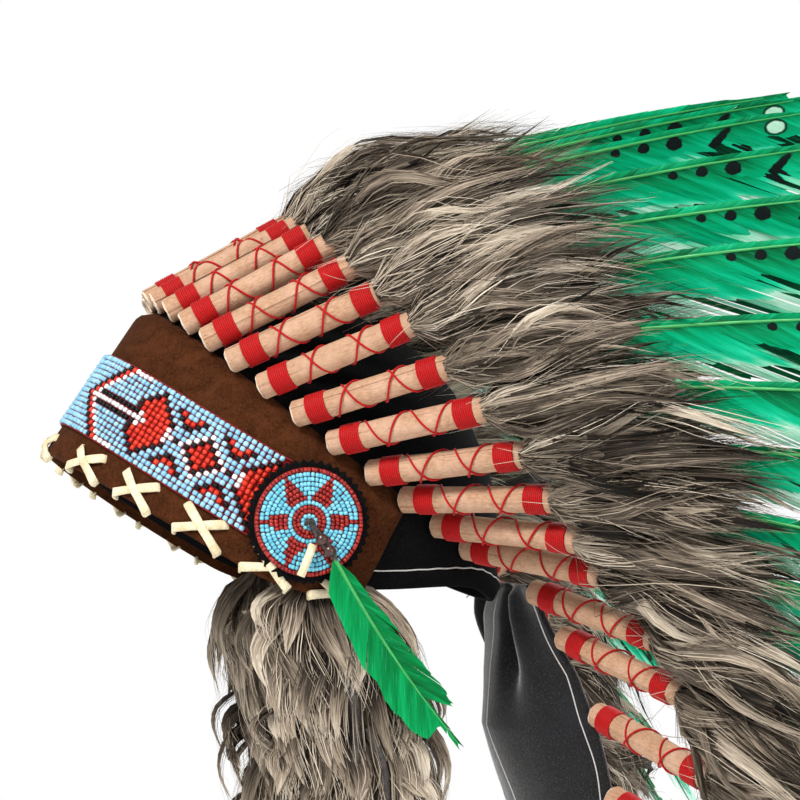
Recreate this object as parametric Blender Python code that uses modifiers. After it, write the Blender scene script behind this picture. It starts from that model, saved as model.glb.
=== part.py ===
"""Feathered headdress with a beaded brow band, side rosettes and a felt trailer.

Metres, +Z up. The wearer faces -Y and the wearer's left side is +X. The origin is the
centre of the head opening, in the tilted plane of the brow band's lower edge. The crown
is worked out in a frame of its own, upright on that plane, and then tipped back.
"""
import math
from collections import namedtuple

import bmesh
import bpy
from mathutils import Matrix, Vector

# Head opening and crown
HEAD_HALF_LENGTH = 0.0963
HEAD_HALF_WIDTH = 0.0763
CROWN_TILT = math.radians(29.5)
CROWN_TOP = 0.108
SHOULDER_FRONT = 0.071
SHOULDER_BACK = 0.046
SHOULDER_LEAN = 0.05
DOME_POWER = 2.3
DOME_RINGS = (0.88, 0.60, 0.30)
SIDE_DIP = 0.004
NAPE_RISE = 0.035
NAPE_RISE_FROM = 85.0
NAPE_RISE_OVER = 65.0
AROUND_STEP = 10

# Walls and the gap that neighbours keep
CAP_WALL = 0.0022
SUEDE_WALL = 0.0022
BEADWORK_WALL = 0.0018
FELT_WALL = 0.0022
CLEARANCE = 0.0003

# How far to either side of a place its slope is read, in degrees and in shares
NEAR_ANGLE = 0.5
NEAR_SHARE = 0.01

# Brow band and its beadwork
CAP_INSET = 0.004
BAND_END = 110
BAND_BELOW_SHOULDER = 0.0022
BEADWORK_END = 80
BEADWORK_ABOVE_EDGE = 0.0145
BEADWORK_SIDE_DIP = 0.0065
BEADWORK_HEIGHT = 0.0345

# Rosettes
ROSETTE_HEIGHT = 0.0245
ROSETTE_FELT_RADIUS = 0.0242
ROSETTE_TEETH = 36
ROSETTE_TOOTH = 0.0022
ROSETTE_BEAD_RADIUS = 0.0218
ROSETTE_BEAD_DOME = 0.0008
ROSETTE_FLAT_SHARE = 0.6
ROSETTE_SIDES = 24

# Plume row: each plume is a wrapped quill tube, a fur tuft and a long feather
QUILL_RADIUS = 0.0056
QUILL_LENGTH = 0.070
QUILL_SIDES = 8
THREAD_BAND = 0.0096
THREAD_INSET = 0.0055
THREAD_RAISE = 0.0005
ROW_RISE = 0.0022
FUR_LENGTH = 0.095
FUR_HALF_WIDTH = 0.0155
FUR_HALF_DEPTH = 0.0150
FEATHER_LENGTH = 0.215
VANE_WIDE = 0.0175
VANE_NARROW = 0.0065
VANE_THICKNESS = 0.0014
VANE_TURN = math.radians(22.0)
DROOP_NEAR_SHARE = 0.68
DROOP_NEAR_OVER = 0.080
WALK_STEP = 0.0025
TINY = 1e-9

# Trailer: one felt panel that bulges towards the neck, plumes along its rear edges
TRAILER_LENGTH = 0.117
TRAILER_HALF_WIDTH = 0.052
TRAILER_OVER_CAP = 0.009
TRAILER_COLUMNS = 8

# Drops that hang from the rosettes
THONG_WIDTH = 0.003
THONG_THICKNESS = 0.0012
THONG_LENGTH = 0.0055
DROP_BEAD_RADIUS = 0.0026
DROP_LEAN = math.radians(34.0)
DROP_FEATHER_LENGTH = 0.090
DROP_FEATHER_HALF_WIDTH = 0.0095
DROP_FEATHER_THICKNESS = 0.0014
DROP_FUR_LENGTH = 0.128
DROP_FUR_HALF_WIDTH = 0.035
DROP_FUR_HALF_DEPTH = 0.011
DROP_FUR_SETBACK = 0.008
DROP_FUR_CORE = 0.3

# around from the front, rise, splay and droop in degrees
CrownPlume = namedtuple("CrownPlume", "around rise splay droop")
CROWN_PLUMES = (
    CrownPlume(0, 29, 0, 20),
    CrownPlume(12, 28.5, 6, 20),
    CrownPlume(23, 28, 12, 20),
    CrownPlume(33, 28, 16, 21),
    CrownPlume(43, 26, 20, 21),
    CrownPlume(53, 23, 24, 21),
    CrownPlume(64, 21, 27, 20),
    CrownPlume(75, 15.5, 30, 18),
    CrownPlume(86, 11, 33, 18),
    CrownPlume(98, 6, 35, 15),
    CrownPlume(109, 0, 38, 15),
    CrownPlume(121, -5, 43, 15),
    CrownPlume(134, -9, 47, 15),
)

# down is a share of the trailer's length
TrailerPlume = namedtuple("TrailerPlume", "down rise splay droop")
TRAILER_PLUMES = (
    TrailerPlume(0.03, -15, 54, 16),
    TrailerPlume(0.20, -17.5, 57, 16),
    TrailerPlume(0.47, -19, 60, 16),
    TrailerPlume(0.76, -22, 61, 16),
)

# middle is a share of the trailer's length, depth a share of its half width
TrailerRow = namedtuple("TrailerRow", "down middle depth")
TRAILER_ROWS = (
    TrailerRow(0.00, 0.000, 0.02),
    TrailerRow(0.12, -0.040, 0.26),
    TrailerRow(0.32, -0.055, 0.56),
    TrailerRow(0.52, -0.050, 0.68),
    TrailerRow(0.76, 0.040, 0.58),
    TrailerRow(1.00, 0.110, 0.48),
)

# along is a share of the fur's length, wide and deep shares of its half width and depth
FurRow = namedtuple("FurRow", "along wide deep")
FUR_ROWS = (
    FurRow(0.10, 0.92, 0.62),
    FurRow(0.40, 1.00, 1.00),
    FurRow(0.72, 0.96, 0.94),
)
FUR_LOCK_TIPS = (1.00, 1.12, 0.94, 1.06)
LOCK_TIP_OUT = 0.72

# along is a share of the feather's length, wide and narrow shares of the vane's two sides
VaneRow = namedtuple("VaneRow", "along wide narrow")
VANE_ROWS = (
    VaneRow(0.47, 0.20, 0.40),
    VaneRow(0.56, 0.92, 1.00),
    VaneRow(0.67, 1.00, 1.00),
    VaneRow(0.71, 0.72, 1.00),
    VaneRow(0.74, 1.00, 0.92),
    VaneRow(0.88, 0.86, 0.80),
    VaneRow(1.00, 0.14, 0.20),
)
VANE_ROOT_HALF = 0.0028

# along is a share of the drop feather's length, half a share of its half width
DropVaneRow = namedtuple("DropVaneRow", "along half")
DROP_VANE_ROWS = (
    DropVaneRow(0.00, 0.12),
    DropVaneRow(0.16, 0.16),
    DropVaneRow(0.26, 0.75),
    DropVaneRow(0.50, 1.00),
    DropVaneRow(0.80, 0.90),
    DropVaneRow(1.00, 0.25),
)

# down is a share of the drop fur's length, width and depth shares of its half sizes
DropFurRow = namedtuple("DropFurRow", "down back width depth")
DROP_FUR_ROWS = (
    DropFurRow(0.00, 0.10, 0.12, 0.30),
    DropFurRow(0.10, 0.22, 0.50, 0.75),
    DropFurRow(0.32, 0.42, 0.88, 1.00),
    DropFurRow(0.60, 0.62, 1.00, 0.95),
)
DROP_LOCK_TIPS = (0.96, 1.00, 0.88, 0.92)

COLOURS = {
    "black_felt": ((0.012, 0.012, 0.014), 0.95),
    "brown_suede": ((0.090, 0.026, 0.010), 0.9),
    "blue_beadwork": ((0.30, 0.58, 0.76), 0.35),
    "red_beadwork": ((0.38, 0.035, 0.025), 0.35),
    "grey_leather": ((0.22, 0.18, 0.15), 0.85),
    "dark_wood": ((0.05, 0.02, 0.01), 0.5),
    "green_plume": ((0.01, 0.25, 0.09), 0.7),
    "taupe_fur": ((0.28, 0.22, 0.18), 0.95),
}

TILT = Matrix.Rotation(-CROWN_TILT, 3, "X")
MIRROR = Matrix.Diagonal((-1.0, 1.0, 1.0))


def material(name):
    """The Principled material of one finish, made once."""
    found = bpy.data.materials.get(name)
    if found:
        return found
    colour, roughness = COLOURS[name]
    made = bpy.data.materials.new(name)
    made.use_nodes = True
    shader = made.node_tree.nodes["Principled BSDF"]
    shader.inputs["Base Color"].default_value = (*colour, 1.0)
    shader.inputs["Roughness"].default_value = roughness
    return made


def add_object(name, bm, finish, collection):
    """An object from a bmesh; a closed one has its faces turned outwards."""
    if all(edge.is_manifold for edge in bm.edges):
        bmesh.ops.recalc_face_normals(bm, faces=bm.faces)
        if bm.calc_volume(signed=True) < 0.0:
            bmesh.ops.reverse_faces(bm, faces=bm.faces)
    mesh = bpy.data.meshes.new(name)
    bm.to_mesh(mesh)
    bm.free()
    mesh.materials.append(material(finish))
    made = bpy.data.objects.new(name, mesh)
    collection.objects.link(made)
    return made


def smoothstep(value):
    """0 below 0, 1 above 1 and a smooth rise between."""
    held = min(1.0, max(0.0, value))
    return held * held * (3.0 - 2.0 * held)


def table_value(rows, key, column, at):
    """A column of a table at a place between its rows."""
    for low, high in zip(rows, rows[1:]):
        start, end = getattr(low, key), getattr(high, key)
        if at <= end:
            share = (at - start) / (end - start)
            return getattr(low, column) * (1.0 - share) + getattr(high, column) * share
    return getattr(rows[-1], column)


def shoulder(around):
    """Height of the crown's shoulder, where the wall turns into the dome."""
    front = (0.5 + 0.5 * math.cos(math.radians(around))) ** 2
    return SHOULDER_BACK + (SHOULDER_FRONT - SHOULDER_BACK) * front


def rim(around):
    """Height of the lower edge: dipped at the sides and raised over the nape."""
    dip = SIDE_DIP * math.sin(math.radians(around)) ** 2
    return NAPE_RISE * smoothstep((abs(around) - NAPE_RISE_FROM) / NAPE_RISE_OVER) - dip


def crown(around, height, out=0.0):
    """A point of the crown's leaning wall, out from the head's surface."""
    share = 1.0 - SHOULDER_LEAN * height / SHOULDER_FRONT
    turn = math.radians(around)
    x = (HEAD_HALF_WIDTH + out) * share * math.sin(turn)
    y = -(HEAD_HALF_LENGTH + out) * share * math.cos(turn)
    return TILT @ Vector((x, y, height))


def dome(around, share, out=CAP_WALL):
    """A point of the dome, share being its plan size against the shoulder's."""
    base = shoulder(around)
    height = base + (CROWN_TOP - base) * (1.0 - share ** DOME_POWER)
    flat = TILT.transposed() @ crown(around, base, out)
    return TILT @ Vector((flat.x * share, flat.y * share, height))


def grid_surface(rows, closed=False):
    """A bmesh of quads between rows of points, each row closed into a ring or open."""
    bm = bmesh.new()
    made = [[bm.verts.new(point) for point in row] for row in rows]
    for low, high in zip(made, made[1:]):
        count = len(low)
        for index in range(count if closed else count - 1):
            after = (index + 1) % count
            bm.faces.new((low[index], low[after], high[after], high[index]))
    return bm, made


def thicken(made, wall, outwards):
    """A wall grown from an open surface, to the outer side or the inner side."""
    solid = made.modifiers.new("wall", "SOLIDIFY")
    solid.thickness = wall
    solid.offset = 1.0 if outwards else -1.0
    solid.use_even_offset = True


def angles(end):
    """Angles from -end to end in the crown's step, shared by all that lies on it."""
    return range(-end, end + 1, AROUND_STEP)


def build_cap(collection):
    """The black felt cap: a hollow crown, open below."""
    ring = range(-180, 180, AROUND_STEP)
    rows = [
        [crown(around, rim(around) + CAP_INSET, CAP_WALL) for around in ring],
        [crown(around, shoulder(around), CAP_WALL) for around in ring],
    ]
    for share in DOME_RINGS:
        rows.append([dome(around, share) for around in ring])
    bm, made = grid_surface(rows, closed=True)
    pole = bm.verts.new(TILT @ Vector((0.0, 0.0, CROWN_TOP)))
    last = made[-1]
    for index, vertex in enumerate(last):
        bm.faces.new((vertex, last[(index + 1) % len(last)], pole))
    thicken(add_object("cap", bm, "black_felt", collection), CAP_WALL, outwards=False)


def band_top(around):
    """Height of the brow band's upper edge."""
    return shoulder(around) - BAND_BELOW_SHOULDER


def build_brow_band(collection):
    """The suede band that faces the cap round the front and sides."""
    out = CAP_WALL + CLEARANCE
    rows = [
        [crown(around, rim(around), out) for around in angles(BAND_END)],
        [crown(around, band_top(around), out) for around in angles(BAND_END)],
    ]
    bm, _ = grid_surface(rows)
    thicken(add_object("brow_band", bm, "brown_suede", collection), SUEDE_WALL, outwards=True)


def beadwork_edge(around):
    """Height of the beaded strip's lower edge, which follows the band's dip."""
    return BEADWORK_ABOVE_EDGE - BEADWORK_SIDE_DIP * math.sin(math.radians(around)) ** 2


def build_bead_band(collection):
    """The loom-beaded strip sewn on the brow band."""
    out = CAP_WALL + SUEDE_WALL + 2.0 * CLEARANCE
    rows = []
    for lift in (0.0, BEADWORK_HEIGHT):
        rows.append([crown(around, beadwork_edge(around) + lift, out) for around in angles(BEADWORK_END)])
    bm, _ = grid_surface(rows)
    thicken(add_object("bead_band", bm, "blue_beadwork", collection), BEADWORK_WALL, outwards=True)


def rosette_plane():
    """Where the rosette's felt lies: just clear of the beadwork's end, facing sideways."""
    out = CAP_WALL + SUEDE_WALL + BEADWORK_WALL + 2.0 * CLEARANCE
    reach = crown(BEADWORK_END, beadwork_edge(BEADWORK_END), out).x
    centre = crown(90, ROSETTE_HEIGHT)
    return Vector((reach + CLEARANCE, centre.y, centre.z))


def disc_rings(centre, radii, offsets, count):
    """Rings of points about the X axis through centre, for a turned disc."""
    rings = []
    for radius_at, offset in zip(radii, offsets):
        ring = []
        for index in range(count):
            turn = 2.0 * math.pi * index / count
            radius = radius_at(index)
            ring.append(centre + Vector((offset, radius * math.cos(turn), radius * math.sin(turn))))
        rings.append(ring)
    return rings


def closed_loft(rings):
    """A bmesh lofted through rings, with a flat face on each end."""
    bm, made = grid_surface(rings, closed=True)
    bm.faces.new(made[0])
    bm.faces.new(made[-1])
    return bm


def turned(points, side):
    """The points as they are on the left side, or mirrored to the right."""
    return [MIRROR @ point for point in points] if side == "right" else points


def build_rosette(side, collection):
    """A pinked felt disc and the domed beadwork on it."""
    centre = rosette_plane()

    def toothed(index):
        return ROSETTE_FELT_RADIUS - ROSETTE_TOOTH * (index % 2)

    rings = disc_rings(centre, (toothed, toothed), (0.0, FELT_WALL), 2 * ROSETTE_TEETH)
    bm = closed_loft([turned(ring, side) for ring in rings])
    add_object(f"rosette_felt_{side}", bm, "black_felt", collection)

    face = FELT_WALL + CLEARANCE
    edge = face + BEADWORK_WALL
    radii = (
        lambda index: ROSETTE_BEAD_RADIUS,
        lambda index: ROSETTE_BEAD_RADIUS,
        lambda index: ROSETTE_FLAT_SHARE * ROSETTE_BEAD_RADIUS,
    )
    offsets = (face, edge, edge + ROSETTE_BEAD_DOME)
    rings = disc_rings(centre, radii, offsets, ROSETTE_SIDES)
    bm = closed_loft([turned(ring, side) for ring in rings])
    add_object(f"rosette_beads_{side}", bm, "red_beadwork", collection)


def drop_hang():
    """Where the drop's thong leaves the rosette's middle."""
    centre = rosette_plane()
    reach = FELT_WALL + BEADWORK_WALL + ROSETTE_BEAD_DOME + 2.0 * CLEARANCE
    return centre + Vector((reach + 0.5 * THONG_THICKNESS, 0.0, 0.0))


def drop_direction():
    """The slant along which thong, beads and feather hang."""
    return Vector((0.0, math.sin(DROP_LEAN), -math.cos(DROP_LEAN)))


def build_drop_thong(side, collection):
    """The flat thong tied at the rosette's middle."""
    start = drop_hang()
    along = drop_direction()
    across = Vector((1.0, 0.0, 0.0)).cross(along)
    thick = Vector((0.5 * THONG_THICKNESS, 0.0, 0.0))
    rings = []
    for length in (0.0, THONG_LENGTH):
        middle = start + along * length
        wide = across * 0.5 * THONG_WIDTH
        rings.append([middle + wide + thick, middle - wide + thick,
                      middle - wide - thick, middle + wide - thick])
    bm = closed_loft([turned(ring, side) for ring in rings])
    add_object(f"drop_thong_{side}", bm, "grey_leather", collection)


def drop_bead_centre(index):
    """Centre of a bead below the thong, the next one touching it."""
    pitch = 2.0 * DROP_BEAD_RADIUS + CLEARANCE
    reach = THONG_LENGTH + CLEARANCE + DROP_BEAD_RADIUS + pitch * index
    lift = Vector((DROP_BEAD_RADIUS - 0.5 * THONG_THICKNESS, 0.0, 0.0))
    return drop_hang() + drop_direction() * reach + lift


def build_drop_beads(side, collection):
    """Two dark wooden beads on the thong."""
    for index in range(2):
        bm = bmesh.new()
        bmesh.ops.create_uvsphere(bm, u_segments=8, v_segments=5, radius=DROP_BEAD_RADIUS)
        centre = drop_bead_centre(index)
        bmesh.ops.translate(bm, verts=bm.verts, vec=turned([centre], side)[0])
        add_object(f"drop_bead_{side}_{index + 1}", bm, "dark_wood", collection)


def build_drop_feather(side, collection):
    """The green feather that hangs over the drop's fur."""
    along = drop_direction()
    across = Vector((1.0, 0.0, 0.0)).cross(along)
    root = drop_bead_centre(1) + along * (DROP_BEAD_RADIUS + CLEARANCE)
    rings = []
    for row in DROP_VANE_ROWS:
        middle = root + along * (row.along * DROP_FEATHER_LENGTH)
        wide = across * (row.half * DROP_FEATHER_HALF_WIDTH)
        thick = Vector((0.5 * DROP_FEATHER_THICKNESS, 0.0, 0.0))
        rings.append([middle + wide, middle + thick, middle - wide, middle - thick])
    bm = closed_loft([turned(ring, side) for ring in rings])
    add_object(f"drop_feather_{side}", bm, "green_plume", collection)


def section(centre, wide_next, wide_prev, deep, count):
    """A rounded ring of points: two half widths and one half depth, as vectors."""
    ring = []
    for index in range(count):
        turn = 2.0 * math.pi * index / count
        side = math.cos(turn)
        wide = wide_next if side >= 0.0 else wide_prev
        ring.append(centre + wide * side + deep * math.sin(turn))
    return ring


def add_locks(bm, ring, core, tips):
    """Pointed locks between a ring and its four core points, one in each quarter."""
    quarter = len(ring) // len(core)
    for index, tip_point in enumerate(tips):
        after = (index + 1) % len(core)
        tip = bm.verts.new(tip_point)
        edge = [ring[(index * quarter + step) % len(ring)] for step in range(quarter + 1)]
        outline = edge + [core[after], core[index]]
        for first, second in zip(outline, outline[1:] + outline[:1]):
            bm.faces.new((first, second, tip))


def build_drop_fur(side, collection):
    """The hanging fur: a full body that ends in locks."""
    hang = drop_bead_centre(0) - Vector((DROP_FUR_SETBACK + DROP_FUR_HALF_DEPTH, 0.0, 0.0))
    hang.z = rosette_plane().z - ROSETTE_FELT_RADIUS - CLEARANCE
    sideways = Vector((1.0, 0.0, 0.0))
    rings = []
    for row in DROP_FUR_ROWS:
        shift = DROP_FUR_HALF_WIDTH * (row.back - DROP_FUR_ROWS[0].back)
        middle = hang + Vector((0.0, shift, -row.down * DROP_FUR_LENGTH))
        wide = Vector((0.0, row.width * DROP_FUR_HALF_WIDTH, 0.0))
        deep = sideways * (row.depth * DROP_FUR_HALF_DEPTH)
        rings.append(section(middle, wide, wide, deep, QUILL_SIDES))
    bm, made = grid_surface([turned(ring, side) for ring in rings], closed=True)
    bm.faces.new(made[0])
    core_wide, core_deep = wide * DROP_FUR_CORE, deep * DROP_FUR_CORE
    core_points = section(middle, core_wide, core_wide, core_deep, 4)
    core = [bm.verts.new(point) for point in turned(core_points, side)]
    bm.faces.new(core)
    tips = []
    for index, reach in enumerate(DROP_LOCK_TIPS):
        turn = 2.0 * math.pi * (index + 0.5) / len(DROP_LOCK_TIPS)
        spread = wide * (LOCK_TIP_OUT * math.cos(turn)) + deep * (LOCK_TIP_OUT * math.sin(turn))
        drop = Vector((0.0, 0.0, -(reach - DROP_FUR_ROWS[-1].down) * DROP_FUR_LENGTH))
        tips.append(middle + spread + drop)
    add_locks(bm, made[-1], core, turned(tips, side))
    add_object(f"drop_fur_{side}", bm, "taupe_fur", collection)


def trailer_top():
    """Middle of the trailer's upper edge, on the outside of the cap's back."""
    start = crown(180, rim(180) + CAP_INSET, CAP_WALL)
    above = crown(180, rim(180) + CAP_INSET + TRAILER_OVER_CAP, CAP_WALL)
    return Vector((0.0, max(start.y, above.y) + CLEARANCE, above.z))


def trailer_point(across, down):
    """A point of the trailer's neck side: across from -1 to 1, down from 0 to 1."""
    top = trailer_top()
    middle = table_value(TRAILER_ROWS, "down", "middle", down) * TRAILER_LENGTH
    depth = table_value(TRAILER_ROWS, "down", "depth", down) * TRAILER_HALF_WIDTH
    y = top.y + middle + depth * across ** 2
    return Vector((TRAILER_HALF_WIDTH * across, y, top.z - down * TRAILER_LENGTH))


def build_trailer(collection):
    """The felt panel that hangs from the cap's back."""
    rows = []
    for row in TRAILER_ROWS:
        across = [2.0 * index / TRAILER_COLUMNS - 1.0 for index in range(TRAILER_COLUMNS + 1)]
        rows.append([trailer_point(share, row.down) for share in across])
    bm, _ = grid_surface(rows)
    thicken(add_object("trailer", bm, "black_felt", collection), FELT_WALL, outwards=True)


def direction(rise, splay):
    """Unit vector that rises from level and splays from straight back."""
    level = math.cos(rise)
    return Vector((level * math.sin(splay), level * math.cos(splay), math.sin(rise)))


def seat(point, outwards, along):
    """Centre of a quill's base disc, its rim just clear of what carries it."""
    lean = along.dot(outwards)
    return point + outwards * (QUILL_RADIUS * math.sqrt(1.0 - lean * lean) + CLEARANCE)


def crown_seat(plume):
    """Base of a plume on the crown's shoulder."""
    base = shoulder(plume.around)
    share = (1.0 - ROW_RISE / (CROWN_TOP - base)) ** (1.0 / DOME_POWER)
    point = dome(plume.around, share)
    sideways = dome(plume.around + NEAR_ANGLE, share) - dome(plume.around - NEAR_ANGLE, share)
    upwards = dome(plume.around, share - NEAR_SHARE) - dome(plume.around, share + NEAR_SHARE)
    outwards = sideways.cross(upwards).normalized()
    return seat(point, outwards, direction(math.radians(plume.rise), math.radians(plume.splay)))


def trailer_seat(plume):
    """Base of a plume against the trailer's rear edge."""
    point = trailer_point(1.0, plume.down)
    inboard = point - trailer_point(1.0 - NEAR_SHARE, plume.down)
    below = trailer_point(1.0, plume.down + NEAR_SHARE)
    above = trailer_point(1.0, plume.down - NEAR_SHARE)
    edge = (below - above).normalized()
    outwards = (inboard - edge * inboard.dot(edge)).normalized()
    thick = outwards.cross(edge) * 0.5 * FELT_WALL
    if thick.y < 0.0:
        thick = -thick
    along = direction(math.radians(plume.rise), math.radians(plume.splay))
    return seat(point + thick, outwards, along)


def walk(start, plume, stations):
    """Points along a plume: straight quill, then a feather that droops under its weight."""
    rise, splay, droop = (math.radians(angle) for angle in (plume.rise, plume.splay, plume.droop))
    points = []
    here = start.copy()
    gone = 0.0
    for station in stations:
        while station - gone > TINY:
            step = min(WALK_STEP, station - gone)
            beyond = max(0.0, gone + 0.5 * step - QUILL_LENGTH)
            near = min(1.0, beyond / DROOP_NEAR_OVER)
            far = max(0.0, beyond - DROOP_NEAR_OVER) / (FEATHER_LENGTH - DROOP_NEAR_OVER)
            slope = rise - droop * (DROOP_NEAR_SHARE * near + (1.0 - DROOP_NEAR_SHARE) * far)
            here = here + direction(slope, splay) * step
            gone += step
        points.append(here.copy())
    return points


def tube_rows():
    """Stations and radii of the quill tube with a raised thread band near each end."""
    raised = QUILL_RADIUS + THREAD_RAISE
    rows = [(0.0, QUILL_RADIUS)]
    for start in (THREAD_INSET, QUILL_LENGTH - THREAD_INSET - THREAD_BAND):
        end = start + THREAD_BAND
        rows += [(start, QUILL_RADIUS), (start, raised), (end, raised), (end, QUILL_RADIUS)]
    rows.append((QUILL_LENGTH, QUILL_RADIUS))
    return rows


def plume_stations():
    """Every distance from the base at which a plume has a section."""
    tube = [station for station, _ in tube_rows()]
    fur = [QUILL_LENGTH + row.along * FUR_LENGTH for row in FUR_ROWS]
    locks = [QUILL_LENGTH + share * FUR_LENGTH for share in FUR_LOCK_TIPS]
    vane = [QUILL_LENGTH + row.along * FEATHER_LENGTH for row in VANE_ROWS]
    return sorted(set(tube + fur + locks + vane))


class Path:
    """A plume's points at all stations, with the ways along, across and outwards."""

    def __init__(self, start, plume):
        self.stations = plume_stations()
        self.points = walk(start, plume, self.stations)

    def index(self, station):
        return min(range(len(self.stations)), key=lambda i: abs(self.stations[i] - station))

    def point(self, station):
        return self.points[self.index(station)]

    def along(self, station):
        here = self.index(station)
        low, high = max(0, here - 1), min(len(self.points) - 1, here + 1)
        return (self.points[high] - self.points[low]).normalized()


def frame_at(paths, number, station):
    """Across and outward directions of a plume and its half widths to its neighbours."""
    path = paths[number]
    here, along = path.point(station), path.along(station)
    after = paths[number + 1].point(station) - here if number + 1 < len(paths) else None
    if number > 0:
        before = paths[number - 1].point(station) - here
    else:
        before = MIRROR @ (paths[1].point(station)) - here
    if after is None:
        after = -before
    level_after = after - along * after.dot(along)
    level_before = before - along * before.dot(along)
    across = level_after - level_before
    across = (across - along * across.dot(along)).normalized()
    outwards = across.cross(along)
    half_after = 0.5 * abs(level_after.dot(across)) - CLEARANCE
    half_before = 0.5 * abs(level_before.dot(across)) - CLEARANCE
    return across, outwards, half_after, half_before


def vane_frame(along, turn):
    """Ways to a vane's wide side, hanging below the shaft and turned out, and to its face."""
    up = Vector((0.0, 0.0, 1.0))
    below = (along * along.dot(up) - up).normalized()
    facing = below.cross(along)
    turned_out = Matrix.Rotation(turn, 3, along)
    return turned_out @ below, turned_out @ facing


def build_plume(name, paths, number, side, collection):
    """One plume: quill tube, fur tuft with four locks and the feather's vane."""
    path = paths[number]
    rings = []
    for station, radius in tube_rows():
        across, outwards, _, _ = frame_at(paths, number, station)
        wide, deep = across * radius, outwards * radius
        rings.append(section(path.point(station), wide, wide, deep, QUILL_SIDES))
    for row in FUR_ROWS:
        station = QUILL_LENGTH + row.along * FUR_LENGTH
        across, outwards, half_after, half_before = frame_at(paths, number, station)
        after = row.wide * min(half_after, FUR_HALF_WIDTH)
        before = row.wide * min(half_before, FUR_HALF_WIDTH)
        deep = outwards * (row.deep * FUR_HALF_DEPTH)
        centre = path.point(station)
        rings.append(section(centre, across * after, across * before, deep, QUILL_SIDES))
    bm, made = grid_surface([turned(ring, side) for ring in rings], closed=True)
    bm.faces.new(made[0])

    vane_turn = VANE_TURN if number else 0.0
    below, facing = vane_frame(path.along(station), vane_turn)
    half = VANE_ROOT_HALF
    core_points = section(centre, below * half, below * half, facing * half * 0.5, 4)
    core = [bm.verts.new(point) for point in turned(core_points, side)]
    # The fur ring's corner that lies nearest the vane's wide side
    corner = 2.0 * math.pi / QUILL_SIDES
    sideways = below.dot(across) / (after if below.dot(across) > 0.0 else before)
    shift = round(math.atan2(below.dot(outwards) / deep.length, sideways) / corner)
    ring = [made[-1][(index + shift) % QUILL_SIDES] for index in range(QUILL_SIDES)]
    tips = []
    for index, reach in enumerate(FUR_LOCK_TIPS):
        turn = 2.0 * math.pi * (index + 0.5) / len(FUR_LOCK_TIPS) + shift * corner
        wide = after if math.cos(turn) > 0.0 else before
        spread = across * (wide * math.cos(turn)) + deep * math.sin(turn)
        tips.append(path.point(QUILL_LENGTH + reach * FUR_LENGTH) + spread * LOCK_TIP_OUT)
    add_locks(bm, ring, core, turned(tips, side))

    last = core
    for row in VANE_ROWS:
        station = QUILL_LENGTH + row.along * FEATHER_LENGTH
        below, facing = vane_frame(path.along(station), vane_turn)
        wide, narrow = below * (row.wide * VANE_WIDE), below * (row.narrow * VANE_NARROW)
        ring = section(path.point(station), wide, narrow, facing * 0.5 * VANE_THICKNESS, 4)
        fresh = [bm.verts.new(point) for point in turned(ring, side)]
        for index in range(4):
            after_index = (index + 1) % 4
            bm.faces.new((last[index], last[after_index], fresh[after_index], fresh[index]))
        last = fresh
    bm.faces.new(last)
    add_object(name, bm, "green_plume", collection)


def build_plumes(collection):
    """The whole row: one plume at the front middle and matching ones down each side."""
    paths = [Path(crown_seat(plume), plume) for plume in CROWN_PLUMES]
    paths += [Path(trailer_seat(plume), plume) for plume in TRAILER_PLUMES]
    build_plume("plume_front", paths, 0, "left", collection)
    for number in range(1, len(paths)):
        for side in ("left", "right"):
            build_plume(f"plume_{side}_{number:02d}", paths, number, side, collection)


def main():
    for old in list(bpy.data.objects):
        bpy.data.objects.remove(old)
    collection = bpy.data.collections.new("feathered_headdress")
    bpy.context.scene.collection.children.link(collection)
    build_cap(collection)
    build_brow_band(collection)
    build_bead_band(collection)
    build_trailer(collection)
    for side in ("left", "right"):
        build_rosette(side, collection)
        build_drop_thong(side, collection)
        build_drop_beads(side, collection)
        build_drop_feather(side, collection)
        build_drop_fur(side, collection)
    build_plumes(collection)


main()
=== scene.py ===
"""Looks of a feathered headdress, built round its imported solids.

Metres, +Z up. The wearer faces -Y and the wearer's left side is +X. The origin is the
centre of the head opening, in the tilted plane of the brow band's lower edge.
"""
import math
from collections import namedtuple

import bmesh
import bpy
import numpy as np
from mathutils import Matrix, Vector


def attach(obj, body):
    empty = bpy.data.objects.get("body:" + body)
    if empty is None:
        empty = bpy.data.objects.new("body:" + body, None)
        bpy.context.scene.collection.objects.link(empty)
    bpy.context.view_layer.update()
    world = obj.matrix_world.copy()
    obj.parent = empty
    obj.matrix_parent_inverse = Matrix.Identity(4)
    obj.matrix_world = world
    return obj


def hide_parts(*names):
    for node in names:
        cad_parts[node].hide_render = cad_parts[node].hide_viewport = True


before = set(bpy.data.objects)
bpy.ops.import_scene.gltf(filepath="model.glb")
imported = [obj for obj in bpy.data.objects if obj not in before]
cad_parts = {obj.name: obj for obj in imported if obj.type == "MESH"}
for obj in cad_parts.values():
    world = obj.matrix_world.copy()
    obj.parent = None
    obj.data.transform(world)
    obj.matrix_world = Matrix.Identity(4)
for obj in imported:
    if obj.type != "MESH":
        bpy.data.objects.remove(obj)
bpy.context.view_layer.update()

TAU = 2.0 * math.pi
MM = 0.001
SIDEWAYS = np.array((1.0, 0.0, 0.0))
UPWARDS = np.array((0.0, 0.0, 1.0))

# Seeds of the random draws; each plume adds its number to its own
SUEDE_SEED = 11
BEADS_SEED = 5
LACING_SEED = 8
ROSETTE_SEED = 21
QUILL_SEED = 100
TUFT_SEED = 300
FEATHER_SEED = 600
DROP_SEEDS = {"left": 71, "right": 72}

# The photograph's view
CAMERA_AT = (1.29134, -0.16371, 0.0275)
VIEW_AZIMUTH = math.radians(80.0)
VIEW_ELEVATION = math.radians(-2.0)
LENS = 137.25
SENSOR = 36.0

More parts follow.
